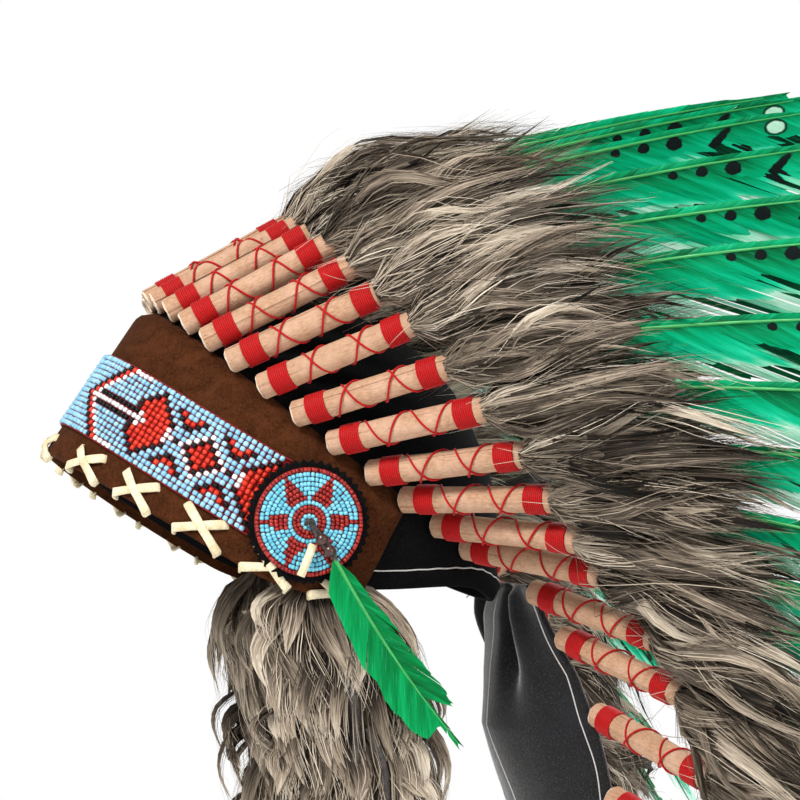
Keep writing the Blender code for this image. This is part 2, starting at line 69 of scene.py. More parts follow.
# Head opening and crown, as in the part
HEAD_HALF_LENGTH = 0.0963
HEAD_HALF_WIDTH = 0.0763
CROWN_TILT = math.radians(29.5)
CROWN_TOP = 0.108
SHOULDER_FRONT = 0.071
SHOULDER_BACK = 0.046
SHOULDER_LEAN = 0.05
DOME_POWER = 2.3
SIDE_DIP = 0.004
NAPE_RISE = 0.035
NAPE_RISE_FROM = 85.0
NAPE_RISE_OVER = 65.0
CAP_INSET = 0.004
CAP_WALL = 0.0022
SUEDE_WALL = 0.0022
BEADWORK_WALL = 0.0018
FELT_WALL = 0.0022
CLEARANCE = 0.0003
BAND_END = 110.0
BAND_BELOW_SHOULDER = 0.0022
BEADWORK_END = 80.0
BEADWORK_ABOVE_EDGE = 0.0145
BEADWORK_SIDE_DIP = 0.0065
BEADWORK_HEIGHT = 0.0345

# Rosettes and drops, as in the part
ROSETTE_HEIGHT = 0.0245
ROSETTE_BEAD_RADIUS = 0.0218
ROSETTE_BEAD_DOME = 0.0008
THONG_THICKNESS = 0.0012
THONG_LENGTH = 0.0055
DROP_BEAD_RADIUS = 0.0026
DROP_LEAN = math.radians(34.0)
DROP_FEATHER_LENGTH = 0.090
DROP_FEATHER_HALF_WIDTH = 0.0095
DROP_FUR_LENGTH = 0.128
DROP_FUR_HALF_WIDTH = 0.035
DROP_FUR_HALF_DEPTH = 0.011
DROP_FUR_SETBACK = 0.008
ROSETTE_FELT_RADIUS = 0.0242

# Plumes, as in the part
QUILL_RADIUS = 0.0056
QUILL_LENGTH = 0.070
THREAD_BAND = 0.0096
THREAD_INSET = 0.0055
ROW_RISE = 0.0022
FUR_LENGTH = 0.095
FUR_HALF_WIDTH = 0.0155
FUR_HALF_DEPTH = 0.0150
FEATHER_LENGTH = 0.215
VANE_WIDE = 0.0175
VANE_NARROW = 0.0065
VANE_TURN = math.radians(22.0)
DROOP_NEAR_SHARE = 0.68
DROOP_NEAR_OVER = 0.080
WALK_STEP = 0.0025

# Trailer, as in the part
TRAILER_LENGTH = 0.117
TRAILER_HALF_WIDTH = 0.052
TRAILER_OVER_CAP = 0.009

CrownPlume = namedtuple("CrownPlume", "around rise splay droop")
CROWN_PLUMES = (
    CrownPlume(0, 29, 0, 20),
    CrownPlume(12, 28.5, 6, 20),
    CrownPlume(23, 28, 12, 20),
    CrownPlume(33, 28, 16, 21),
    CrownPlume(43, 26, 20, 21),
    CrownPlume(53, 23, 24, 21),
    CrownPlume(64, 21, 27, 20),
    CrownPlume(75, 15.5, 30, 18),
    CrownPlume(86, 11, 33, 18),
    CrownPlume(98, 6, 35, 15),
    CrownPlume(109, 0, 38, 15),
    CrownPlume(121, -5, 43, 15),
    CrownPlume(134, -9, 47, 15),
)
TrailerPlume = namedtuple("TrailerPlume", "down rise splay droop")
TRAILER_PLUMES = (
    TrailerPlume(0.03, -15, 54, 16),
    TrailerPlume(0.20, -17.5, 57, 16),
    TrailerPlume(0.47, -19, 60, 16),
    TrailerPlume(0.76, -22, 61, 16),
)
TrailerRow = namedtuple("TrailerRow", "down middle depth")
TRAILER_ROWS = (
    TrailerRow(0.00, 0.000, 0.02),
    TrailerRow(0.12, -0.040, 0.26),
    TrailerRow(0.32, -0.055, 0.56),
    TrailerRow(0.52, -0.050, 0.68),
    TrailerRow(0.76, 0.040, 0.58),
    TrailerRow(1.00, 0.110, 0.48),
)


def unit(vectors):
    """Vectors of length one, along the last axis."""
    return vectors / np.maximum(np.linalg.norm(vectors, axis=-1, keepdims=True), 1e-12)


def dot(first, second):
    return np.sum(first * second, axis=-1, keepdims=True)


def smooth(value):
    """0 below 0, 1 above 1 and a smooth rise between."""
    held = np.clip(value, 0.0, 1.0)
    return held * held * (3.0 - 2.0 * held)


def tilted(x, y, z):
    """Points of the crown's own upright frame, tipped back into the world."""
    cos, sin = math.cos(CROWN_TILT), math.sin(CROWN_TILT)
    return np.stack(np.broadcast_arrays(x, y * cos + z * sin, z * cos - y * sin), axis=-1)


def shoulder(around):
    front = (0.5 + 0.5 * np.cos(np.radians(around))) ** 2
    return SHOULDER_BACK + (SHOULDER_FRONT - SHOULDER_BACK) * front


def rim(around):
    dip = SIDE_DIP * np.sin(np.radians(around)) ** 2
    return NAPE_RISE * smooth((np.abs(around) - NAPE_RISE_FROM) / NAPE_RISE_OVER) - dip


def crown(around, height, out=0.0):
    """Points of the crown's leaning wall, out from the head's surface."""
    share = 1.0 - SHOULDER_LEAN * height / SHOULDER_FRONT
    turn = np.radians(around)
    x = (HEAD_HALF_WIDTH + out) * share * np.sin(turn)
    y = -(HEAD_HALF_LENGTH + out) * share * np.cos(turn)
    return tilted(x, y, height)


def dome(around, share, out=CAP_WALL):
    """Points of the dome, share being its plan size against the shoulder's."""
    base = shoulder(around)
    height = base + (CROWN_TOP - CAP_WALL + out - base) * (1.0 - share ** DOME_POWER)
    lean = 1.0 - SHOULDER_LEAN * base / SHOULDER_FRONT
    turn = np.radians(around)
    x = (HEAD_HALF_WIDTH + out) * lean * np.sin(turn) * share
    y = -(HEAD_HALF_LENGTH + out) * lean * np.cos(turn) * share
    return tilted(x, y, height)


def beadwork_edge(around):
    return BEADWORK_ABOVE_EDGE - BEADWORK_SIDE_DIP * np.sin(np.radians(around)) ** 2


def band_top(around):
    return shoulder(around) - BAND_BELOW_SHOULDER


def table_value(rows, key, column, at):
    return np.interp(at, [getattr(row, key) for row in rows], [getattr(row, column) for row in rows])


def trailer_top():
    start = crown(180.0, rim(180.0) + CAP_INSET, CAP_WALL)
    above = crown(180.0, rim(180.0) + CAP_INSET + TRAILER_OVER_CAP, CAP_WALL)
    return np.array((0.0, max(start[1], above[1]) + CLEARANCE, above[2]))


def trailer_point(across, down):
    """Points of the trailer's neck side: across from -1 to 1, down from 0 to 1."""
    top = trailer_top()
    middle = table_value(TRAILER_ROWS, "down", "middle", down) * TRAILER_LENGTH
    depth = table_value(TRAILER_ROWS, "down", "depth", down) * TRAILER_HALF_WIDTH
    y = top[1] + middle + depth * across ** 2
    z = top[2] - down * TRAILER_LENGTH
    return np.stack(np.broadcast_arrays(TRAILER_HALF_WIDTH * across, y, z), axis=-1)


def direction(rise, splay):
    level = np.cos(rise)
    return np.stack(np.broadcast_arrays(level * np.sin(splay), level * np.cos(splay), np.sin(rise)), axis=-1)


def seat(point, outwards, along):
    lean = float(np.dot(along, outwards))
    return point + outwards * (QUILL_RADIUS * math.sqrt(1.0 - lean * lean) + CLEARANCE)


def crown_seat(plume):
    base = shoulder(plume.around)
    share = (1.0 - ROW_RISE / (CROWN_TOP - base)) ** (1.0 / DOME_POWER)
    sideways = dome(plume.around + 0.5, share) - dome(plume.around - 0.5, share)
    upwards = dome(plume.around, share - 0.01) - dome(plume.around, share + 0.01)
    outwards = unit(np.cross(sideways, upwards))
    along = direction(math.radians(plume.rise), math.radians(plume.splay))
    return seat(dome(plume.around, share), outwards, along)


def trailer_seat(plume):
    point = trailer_point(1.0, plume.down)
    inboard = point - trailer_point(0.99, plume.down)
    edge = unit(trailer_point(1.0, plume.down + 0.01) - trailer_point(1.0, plume.down - 0.01))
    outwards = unit(inboard - edge * np.dot(inboard, edge))
    thick = np.cross(outwards, edge) * 0.5 * FELT_WALL
    thick = thick * math.copysign(1.0, thick[1])
    along = direction(math.radians(plume.rise), math.radians(plume.splay))
    return seat(point + thick, outwards, along)


class Path:
    """A plume's middle line in small steps, with the ways along, across and outwards."""

    def __init__(self, start, plume):
        rise, splay, droop = (math.radians(angle) for angle in (plume.rise, plume.splay, plume.droop))
        count = round((QUILL_LENGTH + FEATHER_LENGTH) / WALK_STEP)
        self.stations = np.arange(count + 1) * WALK_STEP
        beyond = np.maximum(0.0, self.stations[:-1] + 0.5 * WALK_STEP - QUILL_LENGTH)
        near = np.minimum(1.0, beyond / DROOP_NEAR_OVER)
        far = np.maximum(0.0, beyond - DROOP_NEAR_OVER) / (FEATHER_LENGTH - DROOP_NEAR_OVER)
        slope = rise - droop * (DROOP_NEAR_SHARE * near + (1.0 - DROOP_NEAR_SHARE) * far)
        steps = direction(slope, splay) * WALK_STEP
        self.points = np.vstack([start, start + np.cumsum(steps, axis=0)])
        self.ways = unit(np.gradient(self.points, axis=0))

    def read(self, table, stations):
        """A table's rows at any stations, straight between the steps and beyond the end."""
        held = np.clip(stations, 0.0, self.stations[-1])
        return np.stack([np.interp(held, self.stations, table[:, axis]) for axis in range(3)], axis=-1)

    def at(self, stations):
        past = np.maximum(0.0, stations - self.stations[-1])[..., None]
        return self.read(self.points, stations) + self.ways[-1] * past

    def along(self, stations):
        return unit(self.read(self.ways, stations))


PATHS = [Path(crown_seat(plume), plume) for plume in CROWN_PLUMES]
PATHS += [Path(trailer_seat(plume), plume) for plume in TRAILER_PLUMES]
MIRROR = np.array((-1.0, 1.0, 1.0))


def set_neighbours():
    """Gives each path its ways across and outwards and its half distances to its neighbours."""
    for number, path in enumerate(PATHS):
        before = PATHS[number - 1].points if number else PATHS[1].points * MIRROR
        gap_before = before - path.points
        gap_after = PATHS[number + 1].points - path.points if number + 1 < len(PATHS) else -gap_before
        level_before = gap_before - path.ways * dot(gap_before, path.ways)
        level_after = gap_after - path.ways * dot(gap_after, path.ways)
        path.across = unit(level_after - level_before)
        path.outwards = np.cross(path.across, path.ways)
        path.half_after = 0.5 * np.abs(dot(level_after, path.across))[:, 0]
        path.half_before = 0.5 * np.abs(dot(level_before, path.across))[:, 0]


set_neighbours()


class Soup:
    """Grids of quads gathered for one piece, with two sets of surface coordinates and tones."""

    def __init__(self):
        self.points, self.faces, self.places, self.tones = [], [], [], []
        self.count = 0

    def add(self, points, places=None, tones=None, wrap=False):
        """Adds grids of points shaped (grids, rows, columns, 3), each joined into quads."""
        points = np.asarray(points, float)
        if points.ndim == 3:
            points = points[None]
        grids, rows, columns, _ = points.shape
        index = self.count + np.arange(grids * rows * columns).reshape(grids, rows, columns)
        if wrap:
            index = np.concatenate([index, index[:, :, :1]], axis=2)
        low, high = index[:, :-1], index[:, 1:]
        quads = np.stack([low[:, :, :-1], low[:, :, 1:], high[:, :, 1:], high[:, :, :-1]], axis=-1)
        self.points.append(points.reshape(-1, 3))
        self.faces.append(quads.reshape(-1, 4))
        shape = (grids, rows, columns)
        places = np.zeros(shape + (2,)) if places is None else np.broadcast_to(places, shape + (2,))
        tones = np.full(shape, 0.5) if tones is None else np.broadcast_to(tones, shape)
        self.places.append(places.reshape(-1, 2))
        self.tones.append(tones.reshape(-1))
        self.count += grids * rows * columns

    def build(self, name, finish, slot, mirror=False, replaces=(), closed=False):
        """Makes the piece: it rides on the one body; the slot argument is not used."""
        points = np.concatenate(self.points)
        faces = np.concatenate(self.faces)
        if mirror:
            points = points * MIRROR
            faces = faces[:, ::-1]
        mesh = bpy.data.meshes.new(name)
        mesh.from_pydata(points.tolist(), [], faces.tolist())
        layer = mesh.uv_layers.new(name="place")
        layer.uv.foreach_set("vector", np.concatenate(self.places)[faces.ravel()].astype(np.float32).ravel())
        tone = mesh.attributes.new("tone", "FLOAT", "POINT")
        tone.data.foreach_set("value", np.concatenate(self.tones).astype(np.float32))
        mesh.shade_smooth()
        mesh.materials.append(finish)
        made = bpy.data.objects.new(name, mesh)
        bpy.context.scene.collection.objects.link(made)
        if closed:
            turn_outwards(mesh)
        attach(made, "root")
        if replaces:
            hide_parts(*replaces)
        return made


def turn_outwards(mesh):
    """Merges doubled points and turns the faces of a closed piece outwards."""
    bm = bmesh.new()
    bm.from_mesh(mesh)
    bmesh.ops.remove_doubles(bm, verts=bm.verts, dist=1e-6)
    bmesh.ops.recalc_face_normals(bm, faces=bm.faces)
    bm.to_mesh(mesh)
    bm.free()


def round_ways(sides):
    """Cosines and sines of angles spread evenly round, shaped to multiply grids of ways."""
    angle = np.arange(sides) * TAU / sides
    return np.cos(angle)[None, :, None], np.sin(angle)[None, :, None]


def run_along(points):
    """Distances along a line of points from its start."""
    steps = np.linalg.norm(np.diff(points, axis=0), axis=1)
    return np.concatenate([[0.0], np.cumsum(steps)])


def tube(path, radius, sides, flat=1.0):
    """A tube's grid along a path of points; radius may change along it."""
    path = np.asarray(path, float)
    ways = unit(np.gradient(path, axis=0))
    start = UPWARDS if abs(ways[0][2]) < 0.9 else SIDEWAYS
    normal = unit(start - ways[0] * np.dot(start, ways[0]))
    normals = []
    for way in ways:
        normal = unit(normal - way * np.dot(normal, way))
        normals.append(normal)
    normals = np.array(normals)
    cos, sin = round_ways(sides)
    radius = np.broadcast_to(radius, (len(path),))[:, None, None]
    ring = cos * normals[:, None] * flat + sin * np.cross(ways, normals)[:, None]
    return path[:, None] + radius * ring


class Nodes:
    """A short way to write a material's node tree."""

    def __init__(self, name, roughness=0.5, colour=(0.5, 0.5, 0.5), **values):
        self.material = bpy.data.materials.new(name)
        self.material.use_nodes = True
        self.tree = self.material.node_tree
        self.shader = self.tree.nodes["Principled BSDF"]
        self.shader.inputs["Base Color"].default_value = (*colour, 1.0)
        self.shader.inputs["Roughness"].default_value = roughness
        for key, value in values.items():
            self.shader.inputs[key.replace("_", " ")].default_value = value

    def set(self, node, socket, value):
        if isinstance(value, bpy.types.NodeSocket):
            self.tree.links.new(value, node.inputs[socket])
        elif value is not None:
            node.inputs[socket].default_value = value

    def place(self, scale=(1.0, 1.0)):
        """The piece's own surface coordinates in metres, stretched by a scale."""
        node = self.tree.nodes.new("ShaderNodeUVMap")
        node.uv_map = "place"
        return self.stretch(node.outputs[0], (*scale, 1.0))

    def spot(self, scale=(1.0, 1.0, 1.0)):
        """Places in metres in the part's frame, stretched by a scale."""
        node = self.tree.nodes.new("ShaderNodeTexCoord")
        return self.stretch(node.outputs["Object"], scale)

    def stretch(self, vector, scale):
        node = self.tree.nodes.new("ShaderNodeMapping")
        self.set(node, "Vector", vector)
        node.inputs["Scale"].default_value = scale
        return node.outputs[0]

    def tone(self):
        node = self.tree.nodes.new("ShaderNodeAttribute")
        node.attribute_name = "tone"
        return node.outputs["Fac"]

    def noise(self, vector, scale, detail=3.0, distortion=0.0):
        node = self.tree.nodes.new("ShaderNodeTexNoise")
        self.set(node, "Vector", vector)
        node.inputs["Scale"].default_value = scale
        node.inputs["Detail"].default_value = detail
        node.inputs["Distortion"].default_value = distortion
        return node.outputs["Fac"]

    def ramp(self, value, *stops):
        """A colour ramp: stops are (place, colour), a colour may be one grey number."""
        node = self.tree.nodes.new("ShaderNodeValToRGB")
        self.set(node, "Fac", value)
        points = node.color_ramp.elements
        while len(points) < len(stops):
            points.new(0.5)
        for element, (place, colour) in zip(points, stops):
            element.position = place
            grey = colour if isinstance(colour, tuple) else (colour, colour, colour)
            element.color = (*grey, 1.0)
        return node.outputs["Color"]

    def math(self, kind, first, second=None):
        node = self.tree.nodes.new("ShaderNodeMath")
        node.operation = kind
        self.set(node, 0, first)
        self.set(node, 1, second)
        return node.outputs[0]

    def plus(self, first, second):
        return self.math("ADD", first, second)

    def less(self, first, second):
        return self.math("SUBTRACT", first, second)

    def times(self, first, second):
        return self.math("MULTIPLY", first, second)

    def split(self, vector):
        node = self.tree.nodes.new("ShaderNodeSeparateXYZ")
        self.set(node, 0, vector)
        return node.outputs

    def join(self, first, second):
        node = self.tree.nodes.new("ShaderNodeCombineXYZ")
        self.set(node, 0, first)
        self.set(node, 1, second)
        return node.outputs[0]

    def mix(self, share, first, second, kind="MIX"):
        node = self.tree.nodes.new("ShaderNodeMix")
        node.data_type = "RGBA"
        node.blend_type = kind
        self.set(node, "Factor", share)
        for socket, value in (("A", first), ("B", second)):
            target = [one for one in node.inputs if one.name == socket and one.type == "RGBA"][0]
            if isinstance(value, bpy.types.NodeSocket):
                self.tree.links.new(value, target)
            else:
                target.default_value = (*value, 1.0)
        return [one for one in node.outputs if one.type == "RGBA"][0]

    def bump(self, height, distance, strength=1.0):
        node = self.tree.nodes.new("ShaderNodeBump")
        self.set(node, "Height", height)
        node.inputs["Distance"].default_value = distance
        node.inputs["Strength"].default_value = strength
        self.tree.links.new(node.outputs[0], self.shader.inputs["Normal"])

    def out(self, socket, value):
        self.tree.links.new(value, self.shader.inputs[socket])


def make_felt(name="black_felt", sheen=0.02, pale=0.8):
    """Brushed black fibre in slow patches; pale scales how light it is, and a high pale paints in sheen."""
    made = Nodes(name, roughness=1.0, Specular_IOR_Level=0.05, Sheen_Weight=sheen, Sheen_Roughness=0.35)
    fibre = made.noise(made.spot((1.0, 1.0, 0.7)), 1900.0, 3.0, 0.6)
    patch = made.noise(made.spot(), 60.0, 3.0)
    colour = made.ramp(fibre, (0.30, 0.002 * pale), (0.60, 0.006 * pale), (0.82, 0.030 * pale))
    worn = (0.007 * pale, 0.007 * pale, 0.009 * pale)
    made.out("Base Color", made.mix(made.ramp(patch, (0.35, 0.0), (0.7, 0.5)), colour, worn))
    made.bump(fibre, 0.0004, 0.6)
    return made.material


def make_suede():
    sheen = {"Sheen_Weight": 0.05, "Sheen_Roughness": 0.4}
    made = Nodes("brown_suede", roughness=1.0, Specular_IOR_Level=0.04, **sheen)
    made.shader.inputs["Sheen Tint"].default_value = (0.75, 0.45, 0.30, 1.0)
    nap = made.noise(made.spot(), 900.0, 4.0, 0.8)
    brushed = made.noise(made.spot((1.0, 1.0, 1.6)), 75.0, 4.0, 1.2)
    base = made.ramp(
        brushed,
        (0.30, (0.024, 0.007, 0.002)),
        (0.52, (0.042, 0.012, 0.004)),
        (0.75, (0.070, 0.021, 0.007)),
    )
    made.out("Base Color", made.mix(made.ramp(nap, (0.35, 0.0), (0.75, 0.60)), base, (0.098, 0.035, 0.014)))
    made.bump(nap, 0.0005, 0.7)
    return made.material


def make_bead(name, dark, light, gloss=0.35):
    """Opaque glass: each bead takes its own place between two near colours."""
    made = Nodes(name, roughness=0.16, Specular_IOR_Level=gloss)
    made.out("Base Color", made.ramp(made.tone(), (0.0, dark), (1.0, light)))
    wear = made.noise(made.spot(), 700.0, 2.0)
    made.out("Roughness", made.ramp(wear, (0.35, 0.12), (0.7, 0.30)))
    return made.material


# How fast the twist of a spun thread turns, for each metre
THREAD_TWIST = 9000.0


def make_thread(name, dark, light):
    """Spun thread: a slanting twist of fine strands, with painted shade in the grooves between its turns
    where the tone is low.
    """
    made = Nodes(name, roughness=0.6, Specular_IOR_Level=0.15, Sheen_Weight=0.05)
    parts = made.split(made.place())
    slant = made.plus(made.times(parts[0], THREAD_TWIST), made.times(parts[1], THREAD_TWIST))
    twist = made.math("SINE", slant)
    fuzz = made.noise(made.spot(), 2600.0, 2.0)
    # painted shade: a low tone darkens the thread in the grooves between the wound turns
    shaded_groove = made.times(made.less(made.tone(), 0.5), 0.7)
    both = made.plus(made.plus(made.times(twist, 0.16), fuzz), shaded_groove)
    made.out("Base Color", made.ramp(both, (0.25, dark), (0.75, light)))
    made.bump(both, 0.0001, 0.5)
    return made.material


def make_kraft():
    """Wrapped quills: tan fibre with painted shade along lengthwise creases and a few dark flecks."""
    made = Nodes("kraft_wrap", roughness=0.9, Specular_IOR_Level=0.15)
    grain = made.noise(made.place((1.0, 0.30)), 1300.0, 4.0)
    crease = made.noise(made.place((1.0, 0.03)), 380.0, 2.0, 0.3)
    patch = made.noise(made.spot(), 110.0, 3.0)
    fleck = made.noise(made.spot(), 850.0, 1.0)
    tan = made.ramp(
        grain,
        (0.25, (0.33, 0.185, 0.108)),
        (0.50, (0.45, 0.265, 0.163)),
        (0.78, (0.57, 0.360, 0.240)),
    )
    # painted shade: dark lines along the creases
    lined = made.mix(made.ramp(crease, (0.30, 0.8), (0.36, 0.0)), tan, (0.26, 0.130, 0.070))
    cool = made.mix(made.ramp(patch, (0.40, 0.0), (0.75, 0.5)), lined, (0.66, 0.44, 0.33))
    aged = made.mix(made.ramp(made.tone(), (0.0, 0.35), (0.5, 0.0)), cool, (0.42, 0.25, 0.15))
    made.out("Base Color", made.mix(made.ramp(fleck, (0.70, 0.0), (0.76, 0.55)), aged, (0.10, 0.05, 0.03)))
    made.bump(made.plus(grain, made.times(crease, 2.0)), 0.0004, 0.5)
    return made.material


def make_leather(name, dark, light):
    made = Nodes(name, roughness=0.62, Specular_IOR_Level=0.25)
    grain = made.noise(made.spot(), 1300.0, 4.0, 0.5)
    patch = made.noise(made.spot(), 150.0, 3.0)
    both = made.plus(made.times(grain, 0.5), made.times(patch, 0.5))
    made.out("Base Color", made.ramp(both, (0.36, dark), (0.62, light)))
    made.out("Roughness", made.ramp(grain, (0.3, 0.5), (0.7, 0.78)))
    made.bump(grain, 0.0003, 0.5)
    return made.material


def make_wood():
    made = Nodes("dark_wood", roughness=0.32, Coat_Weight=0.2)
    grain = made.noise(made.spot((1.0, 1.0, 0.25)), 900.0, 3.0, 0.4)
    made.out("Base Color", made.ramp(grain, (0.35, (0.012, 0.004, 0.003)), (0.65, (0.075, 0.026, 0.018))))
    made.bump(grain, 0.0001, 0.4)
    return made.material


# Painted marks on a feather's face, in metres from the tip and below the shaft
PaintedDot = namedtuple("PaintedDot", "from_tip below long tall")
PAINTED_DOTS = (
    PaintedDot(0.086, 0.0024, 0.0022, 0.0018),
    PaintedDot(0.0745, 0.0028, 0.0027, 0.0023),
    PaintedDot(0.062, 0.0034, 0.0037, 0.0030),
)
PAINTED_CHEVRON = PaintedDot(0.046, 0.0068, 0.0032, 0.0076)
PAINTED_EYE = PaintedDot(0.0205, 0.0040, 0.0050, 0.0036)


# How far a barb runs along the shaft for each metre away from it, in the streaks' pattern
BARB_LEAN = 1.6


def ellipse(made, along, across, mark, grow=1.0):
    """How far a place lies from a mark's middle, 1 on its outline."""
    middle = QUILL_LENGTH + FEATHER_LENGTH - mark.from_tip
    first = made.math("DIVIDE", made.less(along, middle), mark.long * grow)
    second = made.math("DIVIDE", made.less(across, mark.below), mark.tall * grow)
    squares = made.plus(made.times(first, first), made.times(second, second))
    return made.math("SQRT", squares)


def make_feather(name, painted, *stops):
    """Dyed vane: green barbs, pale edges and, on the long plumes, painted marks; the tones carry painted
    shade.
    """
    made = Nodes(name, roughness=0.55, Specular_IOR_Level=0.06)
    parts = made.split(made.place())
    along, across = parts[0], parts[1]
    side = made.math("ABSOLUTE", across)
    root = made.less(along, made.times(side, BARB_LEAN))
    streak = made.noise(made.join(root, made.times(across, 0.10)), 1500.0, 3.0)
    slow = made.noise(made.join(root, made.times(across, 0.35)), 160.0, 3.0, 0.4)
    green = made.ramp(
        made.plus(made.times(made.tone(), 0.72), made.times(slow, 0.28)),
        *stops,
    )
    lined = made.mix(made.ramp(streak, (0.30, 0.45), (0.46, 0.0)), green, (0.000, 0.070, 0.026))
    colour = made.mix(made.ramp(streak, (0.57, 0.0), (0.80, 0.30)), lined, (0.08, 0.74, 0.46))
    if painted:
        wobble = made.times(made.less(made.noise(made.place(), 420.0, 2.0), 0.5), 0.5)
        ink = (0.006, 0.010, 0.010)
        for mark in PAINTED_DOTS:
            near = made.plus(ellipse(made, along, across, mark), wobble)
            colour = made.mix(made.ramp(near, (0.86, 1.0), (1.0, 0.0)), colour, ink)
        fold = made.math("ABSOLUTE", made.less(across, PAINTED_CHEVRON.below))
        slanted = made.less(along, made.times(fold, 1.1))
        bar = made.plus(ellipse(made, slanted, across, PAINTED_CHEVRON), wobble)
        colour = made.mix(made.ramp(bar, (0.80, 1.0), (1.0, 0.0)), colour, ink)
        ring = made.plus(ellipse(made, along, across, PAINTED_EYE), made.times(wobble, 0.5))
        colour = made.mix(made.ramp(ring, (0.95, 0.85), (1.08, 0.0)), colour, ink)
        colour = made.mix(made.ramp(ring, (0.66, 1.0), (0.78, 0.0)), colour, (0.50, 0.80, 0.62))
    made.out("Base Color", colour)
    made.bump(streak, 0.0003, 0.5)
    return made.material


def make_shaft():
    made = Nodes("feather_shaft", roughness=0.35)
    grain = made.noise(made.place((1.0, 0.05)), 2000.0, 2.0)
    made.out("Base Color", made.ramp(grain, (0.3, (0.004, 0.20, 0.030)), (0.7, (0.05, 0.44, 0.11))))
    made.bump(grain, 0.0001, 0.4)
    return made.material


def make_fur(name, *stops):
    """Hair whose colour runs from root to tip by its tone."""
    made = Nodes(name, roughness=0.65, Specular_IOR_Level=0.10)
    patch = made.noise(made.spot(), 120.0, 2.0)
    shade = made.plus(made.tone(), made.times(made.less(patch, 0.5), 0.25))
    made.out("Base Color", made.ramp(shade, *stops))
    return made.material


def make_fur_body(*stops):
    """The close hair of the locks: their tone and fine streaks along them."""
    made = Nodes("taupe_fur_body", roughness=0.62, Specular_IOR_Level=0.16)
    fine = made.noise(made.place((1.0, 0.030)), 2600.0, 3.0, 0.4)
    lock = made.noise(made.place((1.0, 0.10)), 420.0, 2.0, 0.8)
    streaks = made.plus(made.times(fine, 1.0), made.times(lock, 0.4))
    made.out("Base Color", made.ramp(made.plus(made.tone(), made.less(streaks, 0.70)), *stops))
    made.bump(fine, 0.0007, 0.9)
    return made.material


FELT = make_felt()
# The trailer's copy of the black felt: its colour four times paler is painted sheen, for the light its folds
# catch.
SHEEN_PAINTED_FELT = make_felt("black_felt_painted_sheen", sheen=0.90, pale=3.2)
SUEDE = make_suede()
KRAFT = make_kraft()
RED_THREAD = make_thread("red_thread", (0.20, 0.001, 0.002), (0.62, 0.008, 0.008))
BEADWORK_THREAD = make_thread("beadwork_thread", (0.10, 0.004, 0.004), (0.30, 0.012, 0.010))
PALE_THREAD = make_thread("pale_thread", (0.42, 0.41, 0.39), (0.85, 0.84, 0.82))
CREAM_LEATHER = make_leather("cream_leather", (0.58, 0.46, 0.26), (0.86, 0.77, 0.55))
CREAM_PAPER = make_leather("cream_paper", (0.62, 0.46, 0.33), (0.86, 0.72, 0.58))
GREY_LEATHER = make_leather("grey_leather", (0.020, 0.017, 0.016), (0.10, 0.085, 0.075))
WOOD = make_wood()
GREEN_STOPS = (
    (0.14, (0.000, 0.020, 0.008)),
    (0.30, (0.000, 0.095, 0.028)),
    (0.42, (0.000, 0.260, 0.095)),
    (0.53, (0.000, 0.440, 0.205)),
    (0.65, (0.015, 0.660, 0.370)),
    (0.78, (0.340, 0.900, 0.640)),
    (0.90, (0.700, 0.970, 0.840)),
)
DROP_STOPS = (
    (0.14, (0.000, 0.015, 0.004)),
    (0.30, (0.000, 0.080, 0.016)),
    (0.42, (0.000, 0.185, 0.042)),
    (0.53, (0.001, 0.310, 0.085)),
    (0.65, (0.012, 0.470, 0.150)),
    (0.78, (0.160, 0.690, 0.290)),
    (0.90, (0.500, 0.870, 0.520)),
)
FEATHER = make_feather("green_feather", True, *GREEN_STOPS)
DROP_VANE = make_feather("green_drop_feather", False, *DROP_STOPS)
SHAFT = make_shaft()
FUR_STOPS = (
    (0.00, (0.006, 0.005, 0.004)),
    (0.26, (0.066, 0.050, 0.037)),
    (0.50, (0.310, 0.248, 0.185)),
    (0.74, (0.580, 0.495, 0.390)),
    (1.00, (0.740, 0.670, 0.560)),
)
FUR = make_fur("taupe_fur", *FUR_STOPS)
FUR_BODY = make_fur_body(*FUR_STOPS)
BEAD_FINISH = {
    "blue": make_bead("bead_blue", (0.20, 0.46, 0.66), (0.36, 0.64, 0.80)),
    "red": make_bead("bead_red", (0.50, 0.012, 0.005), (0.74, 0.040, 0.014)),
    "white": make_bead("bead_white", (0.72, 0.74, 0.76), (0.92, 0.92, 0.92)),
    "black": make_bead("bead_black", (0.002, 0.002, 0.002), (0.008, 0.008, 0.009), gloss=0.20),
    "turquoise": make_bead("bead_turquoise", (0.10, 0.44, 0.60), (0.24, 0.64, 0.78)),
    "maroon": make_bead("bead_maroon", (0.20, 0.008, 0.008), (0.40, 0.028, 0.020)),
}


def add_camera():
    data = bpy.data.cameras.new("camera")
    data.lens = LENS
    data.sensor_width = SENSOR
    data.clip_end = 20.0
    camera = bpy.data.objects.new("camera", data)
    camera.location = CAMERA_AT
    level = math.cos(VIEW_ELEVATION)
    towards = Vector((
        -math.sin(VIEW_AZIMUTH) * level,
        math.cos(VIEW_AZIMUTH) * level,
        -math.sin(VIEW_ELEVATION),
    ))
    camera.rotation_euler = towards.to_track_quat("-Z", "Y").to_euler()
    bpy.context.scene.collection.objects.link(camera)
    bpy.context.scene.camera = camera


Lamp = namedtuple("Lamp", "name place size power colour")
LAMPS = (
    Lamp("key", (1.25, -1.15, 1.55), 0.55, 52.0, (1.0, 0.98, 0.95)),
    Lamp("fill", (1.7, 1.1, 0.4), 1.0, 13.0, (1.0, 1.0, 1.0)),
    Lamp("back", (-1.2, 1.1, 1.3), 1.0, 22.0, (1.0, 1.0, 1.0)),
)
LAMPS_AIM = (0.0, 0.06, 0.04)


